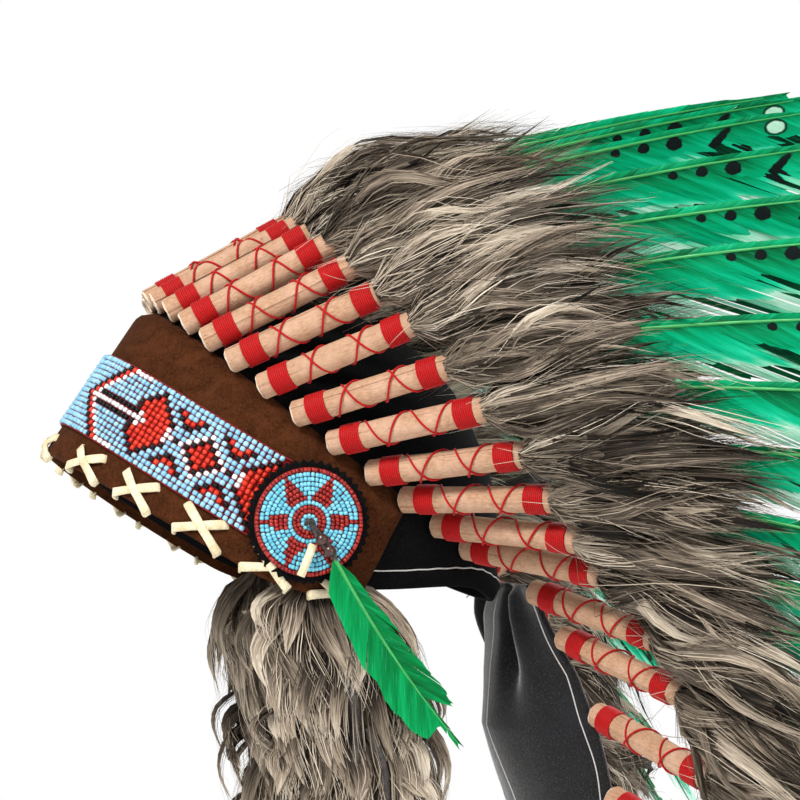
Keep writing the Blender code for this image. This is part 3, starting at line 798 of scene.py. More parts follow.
def add_light(lamp):
    data = bpy.data.lights.new(lamp.name, "AREA")
    data.shape = "DISK"
    data.size = lamp.size
    data.energy = lamp.power
    data.color = lamp.colour
    made = bpy.data.objects.new(lamp.name, data)
    made.location = lamp.place
    made.rotation_euler = (Vector(LAMPS_AIM) - Vector(lamp.place)).to_track_quat("-Z", "Y").to_euler()
    bpy.context.scene.collection.objects.link(made)


SURROUND_LIGHT = 0.55
FLOOR_LEVEL = -0.42
FLOOR_HALF = 2.0


def add_studio():
    """A plain pale floor well below, an even white surround and soft lamps."""
    mesh = bpy.data.meshes.new("floor")
    corners = [(x * FLOOR_HALF, y * FLOOR_HALF, FLOOR_LEVEL) for x, y in ((-1, -1), (1, -1), (1, 1), (-1, 1))]
    mesh.from_pydata(corners, [], [(0, 1, 2, 3)])
    pale = Nodes("pale_floor", roughness=0.9, colour=(0.86, 0.86, 0.86))
    cloud = pale.noise(pale.spot(), 3.0, 2.0)
    pale.out("Base Color", pale.ramp(cloud, (0.2, 0.93), (0.8, 0.96)))
    mesh.materials.append(pale.material)
    floor = bpy.data.objects.new("floor", mesh)
    bpy.context.scene.collection.objects.link(floor)
    world = bpy.data.worlds.new("surround")
    world.use_nodes = True
    tree = world.node_tree
    background = tree.nodes["Background"]
    background.inputs["Color"].default_value = (1.0, 1.0, 1.0, 1.0)
    seen = tree.nodes.new("ShaderNodeLightPath")
    strength = tree.nodes.new("ShaderNodeMapRange")
    strength.inputs["To Min"].default_value = SURROUND_LIGHT
    strength.inputs["To Max"].default_value = 1.0
    tree.links.new(seen.outputs["Is Camera Ray"], strength.inputs["Value"])
    tree.links.new(strength.outputs["Result"], background.inputs["Strength"])
    bpy.context.scene.world = world
    bpy.context.scene.view_settings.view_transform = "Standard"
    for lamp in LAMPS:
        add_light(lamp)


def slab(soup, outer, inner, wrap):
    """Adds a wall between two grids of points shaped (rows, columns, 3)."""
    section = np.concatenate([outer, inner[::-1]])
    loops = np.swapaxes(section, 0, 1)
    arc = run_along(outer[0])
    if wrap:
        loops = np.concatenate([loops, loops[:1]])
        arc = np.append(arc, arc[-1])
    places = np.stack(np.meshgrid(arc, run_along(section[:, 0]), indexing="ij"), axis=-1)
    soup.add(loops, places=places, wrap=True)
    if not wrap:
        for end in (0, -1):
            soup.add(np.stack([outer[:, end], inner[:, end]]))


# How far the felt stands over the plain dome: towards the middle, and more near its top
FELT_PUFF = 0.0062
TOP_PUFF = 0.0030
# Rows of the crown's wall, and plan sizes of the dome's rings above it
WALL_ROWS = 8
DOME_SHARES = (0.97, 0.92, 0.85, 0.76, 0.65, 0.52, 0.38, 0.24, 0.10, 0.004)
# The hem's rows: height above the cap's edge, and how far its face stands out from the cap
HEM_ROWS = ((0.0, 0.0003), (0.0006, 0.0008), (0.0072, 0.0008), (0.0080, 0.0002))
HEM_SUNK = 0.0002


def fullness(share):
    """The felt's puff over the plain dome, in metres."""
    low = FELT_PUFF * float(smooth((1.0 - share) / 0.30))
    return low + TOP_PUFF * float(smooth((0.60 - share) / 0.40))


def build_cap():
    """The felt crown, hollow and open below, and the turned hem round its edge."""
    around = np.arange(-180.0, 180.0, 3.0)
    low = rim(around) + CAP_INSET
    heights = np.linspace(0.0, 1.0, WALL_ROWS)
    grids = []
    for out in (CAP_WALL, 0.0):
        rows = [crown(around, low + (shoulder(around) - low) * share, out) for share in heights]
        rows += [dome(around, np.full_like(around, share), out + fullness(share)) for share in DOME_SHARES]
        grids.append(np.array(rows))
    soup = Soup()
    slab(soup, *grids, wrap=True)
    soup.build("cap_felt", FELT, "black_felt", replaces=["cap"], closed=True)

    outer = [crown(around, low + lift, CAP_WALL + out) for lift, out in HEM_ROWS]
    inner = [crown(around, low + lift, CAP_WALL - HEM_SUNK) for lift, _ in HEM_ROWS]
    hem = Soup()
    slab(hem, np.array(outer), np.array(inner), wrap=True)
    hem.build("cap_hem", FELT, "black_felt", closed=True)


# The suede's rows: share of its height and of its thickness, then its fold over the shoulder
BROW_ROWS = (
    (0.0, 0.35), (0.012, 0.8), (0.03, 1.0), (0.15, 1.0), (0.3, 1.0), (0.45, 1.0),
    (0.6, 1.0), (0.75, 1.0), (0.88, 1.0), (0.97, 1.0), (0.99, 0.95), (1.0, 0.9),
)
BROW_FOLD = ((1.0, 0.75), (0.985, 0.45), (0.965, 0.30))


def build_brow_band():
    """The suede band, gently uneven, with softly rounded edges."""
    around = np.linspace(-BAND_END, BAND_END, 111)
    phase = np.random.default_rng(SUEDE_SEED).uniform(0.0, TAU, 4)
    base = CAP_WALL + CLEARANCE
    grids = []
    for wall in (SUEDE_WALL, 0.0):
        rows = []
        for lift, share in BROW_ROWS:
            height = rim(around) + (band_top(around) - rim(around)) * lift
            wave = 0.0002 * np.sin(around / 9.0 + phase[0] + 5.0 * lift)
            wave = wave + 0.00015 * np.sin(around / 4.0 + phase[1] - 9.0 * lift)
            rows.append(crown(around, height, base + wall * share + (wave if wall else 0.0)))
        for share, thick in BROW_FOLD:
            rows.append(dome(around, np.full_like(around, share), base + wall * thick * 0.6))
        grids.append(np.array(rows))
    soup = Soup()
    slab(soup, *grids, wrap=False)
    soup.build("brow_suede", SUEDE, "brown_suede", replaces=["brow_band"], closed=True)


# The bead chart runs from a chevron's apex: it is drawn once, and mirrored about the front middle
BEAD_ROWS = 15
BEAD_PITCH_FRONT = 0.00285
BEAD_PITCH_SIDE = 0.00260
BEAD_PITCH_CHANGE = 0.061
BEAD_HALF = 0.00104
BEAD_RADIUS = 0.00125
BEAD_OUT = 0.00105
# The backing reaches past the beads' edges, and its two faces lie this far out from the suede
BACKING_PAST = 0.0003
BACKING_FACES = (0.00055, -0.0001)
BEAD_SIDES = 7
# A bead's outline: places along its axis and shares of its radius
BEAD_PROFILE = ((-1.0, 0.52), (-0.72, 0.93), (0.0, 1.0), (0.72, 0.93), (1.0, 0.52))
MIDDLE_ROW = 7
APEX_COLUMN = 6
STEM_EXTRA = 3
HEART_MIDDLE = 13
DIAMOND_MIDDLE = 24
# Half of a heart by rows from its middle row: outline and red columns, before the diamond's middle
HEART_ROWS = {
    1: ((11, 12), (16, 17)),
    2: ((10, 11), (16, 17)),
    3: ((10, 11), (15, 16)),
    4: ((11, 12), (14, 15)),
    5: ((12, 13), (13, 14)),
    6: ((13, 14), (13, 13)),
}
# A small cup above and below the diamond: rows from the middle row, and the columns by colour
CUP_ROWS = {
    3: {"black": (19, 20)},
    4: {"black": (18, 21), "red": (19, 20)},
    5: {"black": (17, 22), "red": (18, 21)},
}


def bead_colour(column, row):
    """The chart: chevron, stem and heart, cups round a diamond, then all of it mirrored."""
    column -= APEX_COLUMN
    if column > HEART_MIDDLE - 4:
        column = max(HEART_MIDDLE - 4, column - STEM_EXTRA)
    if column > DIAMOND_MIDDLE:
        column = 2 * DIAMOND_MIDDLE - column
    away = abs(row - MIDDLE_ROW)
    chevron = column - away
    if chevron in (0, 1, 2):
        return ("black", "red", "white")[chevron]
    if chevron < 0:
        return "blue"
    diamond = abs(column - DIAMOND_MIDDLE) + away
    if diamond <= 4:
        return "red" if diamond < 3 else ("black" if diamond == 3 else "white")
    if away == 0:
        if column <= 12 or column in (17, 18):
            return "white"
        return "red" if column <= 16 else "black"
    if away == 1 and 4 <= column <= 10:
        return "black"
    if away in HEART_ROWS:
        (left, first), (last, right) = HEART_ROWS[away]
        if first <= column <= last:
            return "red"
        if column in (left, right):
            return "white" if away == 1 else "black"
    for colour, columns in CUP_ROWS.get(away, {}).items():
        if column in columns:
            return colour
    return "blue"


def bead_grid(centres, axes, outs, radius, half):
    """Rounded rings for many beads at once, each about its own axis, shaped for Soup."""
    cos, sin = round_ways(BEAD_SIDES)
    ring = cos * outs[:, None] + sin * np.cross(axes, outs)[:, None]
    rows = []
    for step, share in BEAD_PROFILE:
        middle = centres[:, None] + axes[:, None] * (step * half)[:, None, None]
        rows.append(middle + ring * (share * radius)[:, None, None])
    return np.stack(rows, axis=1)


def build_bead_band():
    """Fifteen rows of seed beads on a backing, with the threads between the rows."""
    base = CAP_WALL + SUEDE_WALL + 2.0 * CLEARANCE
    fine = np.linspace(0.0, BEADWORK_END, 801)
    middle = crown(fine, beadwork_edge(fine) + 0.5 * BEADWORK_HEIGHT, base)
    arc = run_along(middle)
    places = [0.0]
    while places[-1] < arc[-1] - 0.6 * BEAD_PITCH_SIDE:
        places.append(places[-1] + (BEAD_PITCH_FRONT if places[-1] < BEAD_PITCH_CHANGE else BEAD_PITCH_SIDE))
    columns = [float(np.interp(place, arc, fine)) for place in places[:-1]]
    rng = np.random.default_rng(BEADS_SEED)
    sets = {}
    pitch = BEADWORK_HEIGHT / BEAD_ROWS
    for side in (1, -1):
        for column, place in enumerate(columns):
            if column == 0 and side < 0:
                continue
            for row in range(BEAD_ROWS):
                sets.setdefault(bead_colour(column, row), []).append((side * place, row))
    for colour, places in sets.items():
        angle = np.array([place[0] for place in places])
        row = np.array([place[1] for place in places], float)
        angle = angle + rng.normal(0.0, 0.10, len(angle))
        height = beadwork_edge(angle) + (row + 0.5) * pitch + rng.normal(0.0, 0.00007, len(angle))
        out = base + BEAD_OUT + rng.normal(0.0, 0.00006, len(angle))
        centres = crown(angle, height, out)
        axes = unit(crown(angle, height + 0.001, out) - centres)
        sideways = crown(angle + 0.5, height, out) - crown(angle - 0.5, height, out)
        outs = unit(np.cross(sideways, axes))
        radius = BEAD_RADIUS * rng.uniform(0.88, 1.06, len(angle))
        half = BEAD_HALF * rng.uniform(0.90, 1.04, len(angle))
        soup = Soup()
        grid = bead_grid(centres, axes, outs, radius, half)
        soup.add(grid, tones=rng.uniform(0.0, 1.0, len(angle))[:, None, None], wrap=True)
        soup.build(f"band_beads_{colour}", BEAD_FINISH[colour], "seed_beadwork", replaces=["bead_band"])

    around = np.linspace(-BEADWORK_END, BEADWORK_END, 121)
    backing = Soup()
    lifts = np.linspace(-BACKING_PAST, BEADWORK_HEIGHT + BACKING_PAST, 4)
    faces = [
        np.array([crown(around, beadwork_edge(around) + lift, base + out) for lift in lifts])
        for out in BACKING_FACES
    ]
    slab(backing, *faces, wrap=False)
    backing.build("band_backing", BEADWORK_THREAD, "thread", closed=True)

    warps = Soup()
    for row in range(BEAD_ROWS + 1):
        height = beadwork_edge(around) + row * pitch
        edge = row in (0, BEAD_ROWS)
        path = crown(around, height, base + (0.0009 if edge else 0.00135))
        warps.add(tube(path, 0.00042 if edge else 0.00019, sides=5), wrap=True)
    warps.build("band_warps", BEADWORK_THREAD, "thread")


LACE_WIDTH = 0.0038
LACE_THICKNESS = 0.0011
# Angles round the crown of the middle of each crossed pair of laces, on either side
LACE_AT = (0.0, 31.0, 50.5, 69.0, 88.0, 105.0)
LACE_REACH = 6.0
LACE_TOP = 0.0085
# Width of a lace's flat faces against its whole width
LACE_FACE = 0.86


def build_lacing():
    """Cream laces crossed along the band's lower edge, each wrapped under it."""
    soup = Soup()
    out = CAP_WALL + CLEARANCE + SUEDE_WALL
    rng = np.random.default_rng(LACING_SEED)
    for side in (-1, 1):
        for middle in LACE_AT if side > 0 else LACE_AT[1:]:
            for lean in (-1, 1):
                top_at = side * (middle - lean * LACE_REACH) + rng.normal(0.0, 0.4)
                low_at = side * (middle + lean * LACE_REACH) + rng.normal(0.0, 0.4)
                share = np.linspace(0.0, 1.0, 13)
                around = top_at + (low_at - top_at) * share
                low = rim(around) - 0.0004
                height = low + (LACE_TOP - low) * (1.0 - share)
                lift = 0.0007 + 0.0011 * np.sin(np.pi * np.minimum(1.0, share * 1.02))
                lift = lift + (0.0009 if lean > 0 else 0.0) * np.exp(-((share - 0.5) / 0.16) ** 2)
                lift = lift - 0.0026 * np.clip((0.05 - share) / 0.05, 0.0, 1.0)
                path = crown(around, height, out + lift)
                ways = unit(np.gradient(path, axis=0))
                normal = unit(crown(around, height, out + 0.01) - crown(around, height, out))
                beside = np.cross(ways, unit(normal - ways * dot(normal, ways)))
                under = ((-0.0007, out + 0.0002), (-0.0010, out - 0.0011), (-0.0008, CAP_WALL - 0.0002))
                wrapped = np.array([crown(low_at, rim(low_at) + drop, reach) for drop, reach in under])
                path = np.vstack([path, wrapped])
                beside = unit(np.vstack([beside, np.tile(beside[-1], (len(under), 1))]))
                normal = np.cross(beside, unit(np.gradient(path, axis=0)))
                wide = 0.5 * LACE_WIDTH * (1.0 + 0.06 * np.sin(3.0 * np.arange(len(path)) / 5.0))[:, None]
                thick = 0.5 * LACE_THICKNESS
                ring = np.stack([
                    path + beside * wide,
                    path + beside * wide * LACE_FACE + normal * thick,
                    path - beside * wide * LACE_FACE + normal * thick,
                    path - beside * wide,
                    path - beside * wide * LACE_FACE - normal * thick,
                    path + beside * wide * LACE_FACE - normal * thick,
                ], axis=1)
                soup.add(ring, wrap=True)
                for end in (0, -1):
                    soup.add(np.stack([ring[end][[0, 1, 2, 3]], ring[end][[0, 5, 4, 3]]]))
    soup.build("edge_lacing", CREAM_LEATHER, "cream_leather", closed=True)


def rosette_plane():
    out = CAP_WALL + SUEDE_WALL + BEADWORK_WALL + 2.0 * CLEARANCE
    reach = crown(BEADWORK_END, beadwork_edge(BEADWORK_END), out)[0]
    centre = crown(90.0, ROSETTE_HEIGHT)
    return np.array((reach + CLEARANCE, centre[1], centre[2]))


# A ring of rosette beads: radius in mm, beads in it, its plain colour, and how many degrees the
# star's points reach to either side of their middles
RosetteRing = namedtuple("RosetteRing", "radius beads colour star")
ROSETTE_RINGS = (
    RosetteRing(21.0, 84, "maroon", 0.0),
    RosetteRing(19.05, 76, "turquoise", 1.6),
    RosetteRing(17.15, 68, "turquoise", 4.5),
    RosetteRing(15.25, 61, "turquoise", 8.5),
    RosetteRing(13.35, 53, "turquoise", 12.5),
    RosetteRing(11.5, 46, "turquoise", 17.0),
    RosetteRing(9.65, 38, "turquoise", 23.0),
    RosetteRing(7.8, 31, "turquoise", 0.0),
    RosetteRing(6.0, 24, "maroon", 0.0),
    RosetteRing(4.3, 17, "maroon", 0.0),
    RosetteRing(2.6, 10, "turquoise", 0.0),
    RosetteRing(1.0, 4, "turquoise", 0.0),
)
STAR_POINTS = 6
ROSETTE_BEAD_OUT = 0.00095
ROSETTE_BEAD_WIDE = 0.00098
# Rings of the backing under the beads: radius, and height over the felt
BACKING_RINGS = ((0.0002, 0.0001), (0.0219, 0.0001), (0.0219, 0.0008), (0.012, 0.0014), (0.0002, 0.0016))
# Rings of the felt disc: share of its radius, and height over the rosette's plane
FELT_RINGS = (
    (0.001, 0.0001), (0.8, 0.0001), (1.0, 0.0003), (1.0, 0.0019),
    (0.985, 0.0022), (0.8, 0.0022), (0.001, 0.0022),
)
PINKED_TEETH = 44
PINKED_RADIUS = 0.0252
PINKED_DEPTH = 0.0016


def disc_points(plane, reach, radius, angle):
    """Points of a rosette, out from its plane and round its middle."""
    level = np.broadcast_arrays(reach, radius * np.sin(angle), radius * np.cos(angle))
    return plane + np.stack(level, axis=-1)


def build_rosettes():
    """Rings of beads sewn in a round with a six-pointed star, on a backing and a felt disc."""
    plane = rosette_plane()
    rng = np.random.default_rng(ROSETTE_SEED)
    sector = 360.0 / STAR_POINTS
    for mirror, side in ((False, "left"), (True, "right")):
        sets = {}
        for ring in ROSETTE_RINGS:
            for index in range(ring.beads):
                turn = 360.0 * index / ring.beads
                off = abs(turn % sector - 0.5 * sector)
                colour = "maroon" if ring.star and off <= ring.star else ring.colour
                sets.setdefault(colour, []).append((ring.radius, turn, ring.beads))
        for colour, places in sets.items():
            count = len(places)
            ring_radius, turn, beads = np.array(places, float).T
            turn = np.radians(turn + rng.normal(0.0, 0.5, count))
            radius = ring_radius * MM + rng.normal(0.0, 0.00005, count)
            dome_lift = ROSETTE_BEAD_DOME * (1.0 - (radius / ROSETTE_BEAD_RADIUS) ** 2)
            reach = FELT_WALL + CLEARANCE + ROSETTE_BEAD_OUT + dome_lift + rng.normal(0.0, 0.00004, count)
            axes = np.stack([np.zeros_like(turn), np.cos(turn), -np.sin(turn)], axis=-1)
            outs = np.tile(SIDEWAYS, (count, 1))
            wide = ROSETTE_BEAD_WIDE * rng.uniform(0.94, 1.04, count)
            half = math.pi * ring_radius * MM / beads * rng.uniform(0.90, 0.99, count)
            grid = bead_grid(disc_points(plane, reach, radius, turn), axes, outs, wide, half)
            soup = Soup()
            soup.add(grid, tones=rng.uniform(0.0, 1.0, count)[:, None, None], wrap=True)
            name, node = f"rosette_{side}_{colour}", f"rosette_beads_{side}"
            soup.build(name, BEAD_FINISH[colour], "rosette_beadwork", mirror=mirror, replaces=[node])
        backing = Soup()
        angle = np.arange(48) * TAU / 48
        rings = [disc_points(plane, FELT_WALL + lift, radius, angle) for radius, lift in BACKING_RINGS]
        backing.add(np.array(rings), wrap=True)
        backing.build(f"rosette_{side}_backing", BEADWORK_THREAD, "thread", mirror=mirror)
        build_rosette_felt(side, mirror, plane)


def build_rosette_felt(side, mirror, plane):
    """The felt disc under the beads, with a pinked edge."""
    count = 4 * PINKED_TEETH
    angle = np.arange(count) * TAU / count
    tooth = PINKED_RADIUS - PINKED_DEPTH * np.abs(((np.arange(count) / 4.0) % 1.0) - 0.5) * 2.0
    soup = Soup()
    rings = [disc_points(plane, reach, tooth * share, angle) for share, reach in FELT_RINGS]
    soup.add(np.array(rings), wrap=True)
    soup.build(f"rosette_{side}_felt", FELT, "black_felt", mirror=mirror, replaces=[f"rosette_felt_{side}"])


WRAP_SIDES = 23
WRAP_WALL = 0.0009


def build_quills():
    """Wrapped quill tubes with thread bands and crossed threads, one set of pieces each."""
    for number, path in enumerate(PATHS):
        rng = np.random.default_rng(QUILL_SEED + number)
        build_for_plume(
            number,
            ("quill", quill_wrap(path, rng), KRAFT, "kraft_wrap"),
            ("quill_ends", quill_ends(path, rng), CREAM_PAPER, "kraft_wrap"),
            ("thread", quill_thread(path, rng), RED_THREAD, "thread"),
        )


def build_for_plume(number, *pieces):
    """Builds a plume's pieces on each side it stands on; its quill replaces the plume's solid."""
    for side in ("left", "right") if number else ("left",):
        name = f"{side}_{number:02d}" if number else "front"
        for start, soup, finish, slot in pieces:
            replaces = [f"plume_{name}"] if start == "quill" else ()
            soup.build(f"{start}_{name}", finish, slot, mirror=side == "right", replaces=replaces)


def quill_frame(path):
    """The straight quill's start, its way along and two ways across."""
    along = path.along(np.array([0.02]))[0]
    first = path.across[4] - along * np.dot(path.across[4], along)
    first = unit(first)
    return path.points[0], along, first, np.cross(along, first)


def quill_surface(path, stations, angle, radius):
    """Points at stations, angles and radii of the straight quill; all broadcast."""
    start, along, first, second = quill_frame(path)
    stations, angle, radius = np.broadcast_arrays(stations, angle, radius)
    round_it = np.cos(angle)[..., None] * first + np.sin(angle)[..., None] * second
    return start + stations[..., None] * along + radius[..., None] * round_it


def quill_wrap(path, rng):
    """The rolled wrap: slightly lumpy and creased, with its seam's edge and its inner face."""
    stations = np.linspace(0.0, QUILL_LENGTH, 14)[:, None]
    turn = np.linspace(0.0, TAU, WRAP_SIDES)[None, :]
    seam = rng.uniform(0.0, TAU)
    phase = rng.uniform(0.0, TAU, 6)
    spiral = 0.00035 * (turn / TAU)
    lumps = 0.00010 * np.sin(2.0 * turn + phase[0] + stations * 60.0)
    lumps = lumps + 0.00008 * np.sin(3.0 * turn + phase[1] - stations * 110.0)
    creases = 0.00007 * np.sin(11.0 * turn + phase[2] + stations * 25.0) * np.sin(stations * 140.0 + phase[3])
    angle = turn + seam + 0.04 * np.sin(stations * 70.0 + phase[4])
    radius = QUILL_RADIUS - 0.0004 + spiral + lumps + creases
    points = quill_surface(path, stations, angle, radius)
    inner = quill_surface(path, stations[::-1], angle[::-1], radius[::-1] - WRAP_WALL)
    arc = np.broadcast_to(turn * QUILL_RADIUS, points.shape[:2])
    places = np.stack([arc, np.broadcast_to(stations, arc.shape)], axis=-1)
    aged = rng.uniform(0.0, 1.0)
    soup = Soup()
    soup.add(np.concatenate([points, inner[:1]]), places=np.concatenate([places, places[-1:]]), tones=aged)
    soup.add(np.stack([inner[-1], points[0]]), places=np.stack([places[0], places[0]]), tones=aged)
    soup.add(np.stack([points[:, -1], points[:, 0]], axis=1), places=places[:, [-1, 0]], tones=0.2)
    return soup


# The rolled layers in a quill's end: how deep each ring lies, and its radius
END_DEPTHS = np.array((0.0002, -0.0007, -0.0008, 0.0010, 0.0012, 0.0001, 0.0002, 0.0016, 0.0018))
END_RADII = np.array((0.0051, 0.0049, 0.0040, 0.0038, 0.0032, 0.0030, 0.0022, 0.0020, 0.00005))


def quill_ends(path, rng):
    """The pale rolled layers that show in each open end."""
    soup = Soup()
    angle = np.arange(16) * TAU / 16
    for station, inwards in ((0.0, 1.0), (QUILL_LENGTH, -1.0)):
        frayed = 1.0 + 0.25 * np.sin(5.0 * angle + rng.uniform(0.0, TAU))[None, :]
        places = station + inwards * (END_DEPTHS[:, None] * frayed)
        rings = quill_surface(path, places, angle[None, :], END_RADII[:, None])
        soup.add(rings, tones=rng.uniform(0.2, 0.8), wrap=True)
    return soup


THREAD_TURNS = 10
CROSS_TURNS = 2.0
CROSS_RADIUS = 0.00047


def quill_thread(path, rng):
    """Two wound bands and two threads that cross between them."""
    soup = Soup()
    turn = np.linspace(0.0, TAU, 17)[None, :]
    pitch = THREAD_BAND / THREAD_TURNS
    for start in (THREAD_INSET, QUILL_LENGTH - THREAD_INSET - THREAD_BAND):
        start = start + rng.normal(0.0, 0.0006)
        steps = np.arange(3 * THREAD_TURNS + 1) / 3.0
        shaded_groove = np.arange(len(steps)) % 3 == 0
        ridge = np.where(shaded_groove, 0.00020, 0.00058) + rng.normal(0.0, 0.00003, len(steps))
        ridge[[0, -1]] = -0.0001
        stations = start + (steps[:, None] + turn / TAU * 0.9) * pitch * (THREAD_TURNS / (THREAD_TURNS + 0.9))
        radius = QUILL_RADIUS + ridge[:, None]
        points = quill_surface(path, stations, turn, radius)
        arc = np.broadcast_to(turn * QUILL_RADIUS, points.shape[:2])
        # tones that paint shade into the groove rows between the turns
        shade = np.broadcast_to(np.where(shaded_groove, 0.02, 0.62)[:, None], arc.shape)
        soup.add(points, places=np.stack([arc, stations], axis=-1), tones=shade)
    first = THREAD_INSET + THREAD_BAND - 0.0008
    last = QUILL_LENGTH - THREAD_INSET - THREAD_BAND + 0.0008
    phase = 0.25 * TAU + rng.normal(0.0, 0.30)
    share = np.linspace(0.0, 1.0, 37)
    for hand in (1.0, -1.0):
        slack = 0.12 * np.sin(share * TAU * 1.5 + rng.uniform(0.0, TAU))
        angle = phase + hand * (CROSS_TURNS * TAU * share + slack)
        over = QUILL_RADIUS - 0.0001 + CROSS_RADIUS * (0.6 if hand > 0 else 1.1)
        line = quill_surface(path, first + (last - first) * share, angle, over)
        soup.add(tube(line, CROSS_RADIUS, sides=5), wrap=True)
    return soup


TUFT_CLUMPS = 46
TUFT_STRANDS = 14
HAIR_STEPS = 9
HAIR_SHARES = np.linspace(0.0, 1.0, HAIR_STEPS)[None, :]
STRAND_HALF = 0.00016
HANK_STRAND_HALF = 0.00017
WISP_HALF = 0.00012
# Lowest and highest tone of a loose hair, and the highest of a tuft's and a hank's locks
HAIR_TONES = (0.02, 0.98)
TUFT_LOCK_TONE = 0.66
HANK_LOCK_TONE = 0.80
# Shares of a tuft's clumps that are dark, or dark at their tips, and of its hairs that stray
DARK_CLUMPS = 0.24
DARK_TIPS = 0.35
STRAY_HAIRS = 0.10
LOCK_HALF = 0.0037
LOCK_COLUMNS = np.array((-1.0, -0.5, 0.0, 0.5, 1.0))

Clumps = namedtuple("Clumps", "angle centre length wave sway bend tint dark dark_tip")


def strand_grid(middle, facing, half):
    """Flat hairs for Soup: middle lines (strands, steps, 3), their facings and half widths."""
    ways = unit(np.gradient(middle, axis=1))
    beside = unit(np.cross(ways, facing)) * half[..., None]
    return np.stack([middle - beside, middle + beside], axis=2)


def lock_grid(middle, facing, half, rng):
    """Broad arched locks for Soup, with ragged ends, and their surface coordinates."""
    ways = unit(np.gradient(middle, axis=1))
    beside = unit(np.cross(ways, facing))
    raised = np.cross(beside, ways)
    steps = np.linalg.norm(np.diff(middle, axis=1), axis=-1)
    run = np.concatenate([np.zeros((len(middle), 1)), np.cumsum(steps, axis=1)], axis=1)
    share = run / run[:, -1:]
    ragged = rng.normal(0.0, 0.0045, (len(middle), 1, len(LOCK_COLUMNS))) * (share ** 3)[..., None]
    across = half[..., None] * LOCK_COLUMNS
    points = middle[:, :, None] + beside[:, :, None] * across[..., None]
    points = points + ways[:, :, None] * ragged[..., None]
    points = points + raised[:, :, None] * (0.4 * half[..., None] * (LOCK_COLUMNS ** 2 - 0.5))[..., None]
    shift = rng.uniform(0.0, 0.2, (len(middle), 1, 1))
    places = np.stack([across + shift, np.broadcast_to(run[..., None], across.shape) + shift], axis=-1)
    return points, places


def taper(width):
    """Half widths along a hair, fine at its tip."""
    return width[:, None] * (1.0 - 0.75 * HAIR_SHARES ** 3)


def lock_taper(width):
    """Half widths along a lock, narrow where it starts and at its end."""
    start = 0.35 + 0.65 * smooth(HAIR_SHARES / 0.25)
    return width[:, None] * start * (1.0 - 0.97 * HAIR_SHARES ** 2.2)


def make_clumps(rng):
    angle = rng.uniform(0.0, TAU, TUFT_CLUMPS)
    reach = np.sqrt(rng.uniform(0.25, 1.0, TUFT_CLUMPS))
    return Clumps(
        angle=angle,
        centre=np.stack([np.cos(angle), np.sin(angle)], axis=-1) * reach[:, None],
        length=rng.uniform(0.62, 1.14, TUFT_CLUMPS),
        wave=rng.uniform(0.0, TAU, (TUFT_CLUMPS, 2)),
        sway=rng.normal(0.0, 0.30, (TUFT_CLUMPS, 2)),
        bend=rng.uniform(0.08, 0.46, TUFT_CLUMPS),
        tint=rng.normal(0.0, 0.16, TUFT_CLUMPS),
        dark=rng.uniform(0.0, 1.0, TUFT_CLUMPS) < DARK_CLUMPS,
        dark_tip=rng.uniform(0.0, 1.0, TUFT_CLUMPS) < DARK_TIPS,
    )


def tuft_room(path, stations):
    """Half the way to the next plume and to the last one, held to the tuft's own half width."""
    halves = [np.minimum(half, FUR_HALF_WIDTH) for half in (path.half_after, path.half_before)]
    return [np.interp(stations, path.stations, half) for half in halves]


def tuft_lines(path, clumps, clump, own, loose, ripple):
    """Lines of hair of a tuft and their facings: own shares along, loose shifts from the clump."""
    share = HAIR_SHARES
    flare = smooth(own / 0.13)
    offset = []
    for axis in range(2):
        wave = clumps.wave[clump, axis][:, None]
        curl = clumps.bend[clump][:, None] * smooth(share / 0.5)
        curl = curl * (np.sin(wave + share * (5.0 + 1.5 * axis)) - np.sin(wave))
        drift = clumps.sway[clump, axis][:, None] * smooth((share - 0.2) / 0.8)
        held = clumps.centre[clump, axis][:, None] * (0.86 - 0.10 * share)
        offset.append(flare * (held + loose[:, axis]) + curl + drift + ripple[:, axis])
    stations = QUILL_LENGTH - 0.003 + own * (FUR_LENGTH + 0.003)
    after, before = tuft_room(path, stations)
    start = (1.0 - flare) * 0.0037 / np.maximum(after, 0.006)
    width = np.where(offset[0] > 0.0, after, before) * 1.24
    across = path.read(path.across, stations)
    outwards = path.read(path.outwards, stations)
    first = (offset[0] + start * np.cos(clumps.angle[clump])[:, None]) * width
    second = (offset[1] + start * np.sin(clumps.angle[clump])[:, None]) * FUR_HALF_DEPTH * 0.95
    middle = path.at(stations) + across * first[..., None] + outwards * second[..., None]
    facing = unit(across * first[..., None] + outwards * (second[..., None] + 0.002))
    return middle, facing


def clump_tone(clumps, clump):
    """Tones along the hair of each clump: some clumps are dark, some only at their tips."""
    share = HAIR_SHARES
    tone = 0.40 + 0.24 * share + clumps.tint[clump][:, None]
    tone = np.where(clumps.dark[clump][:, None], tone - 0.36, tone)
    return np.where(clumps.dark_tip[clump][:, None], tone - 0.50 * share ** 2, tone)


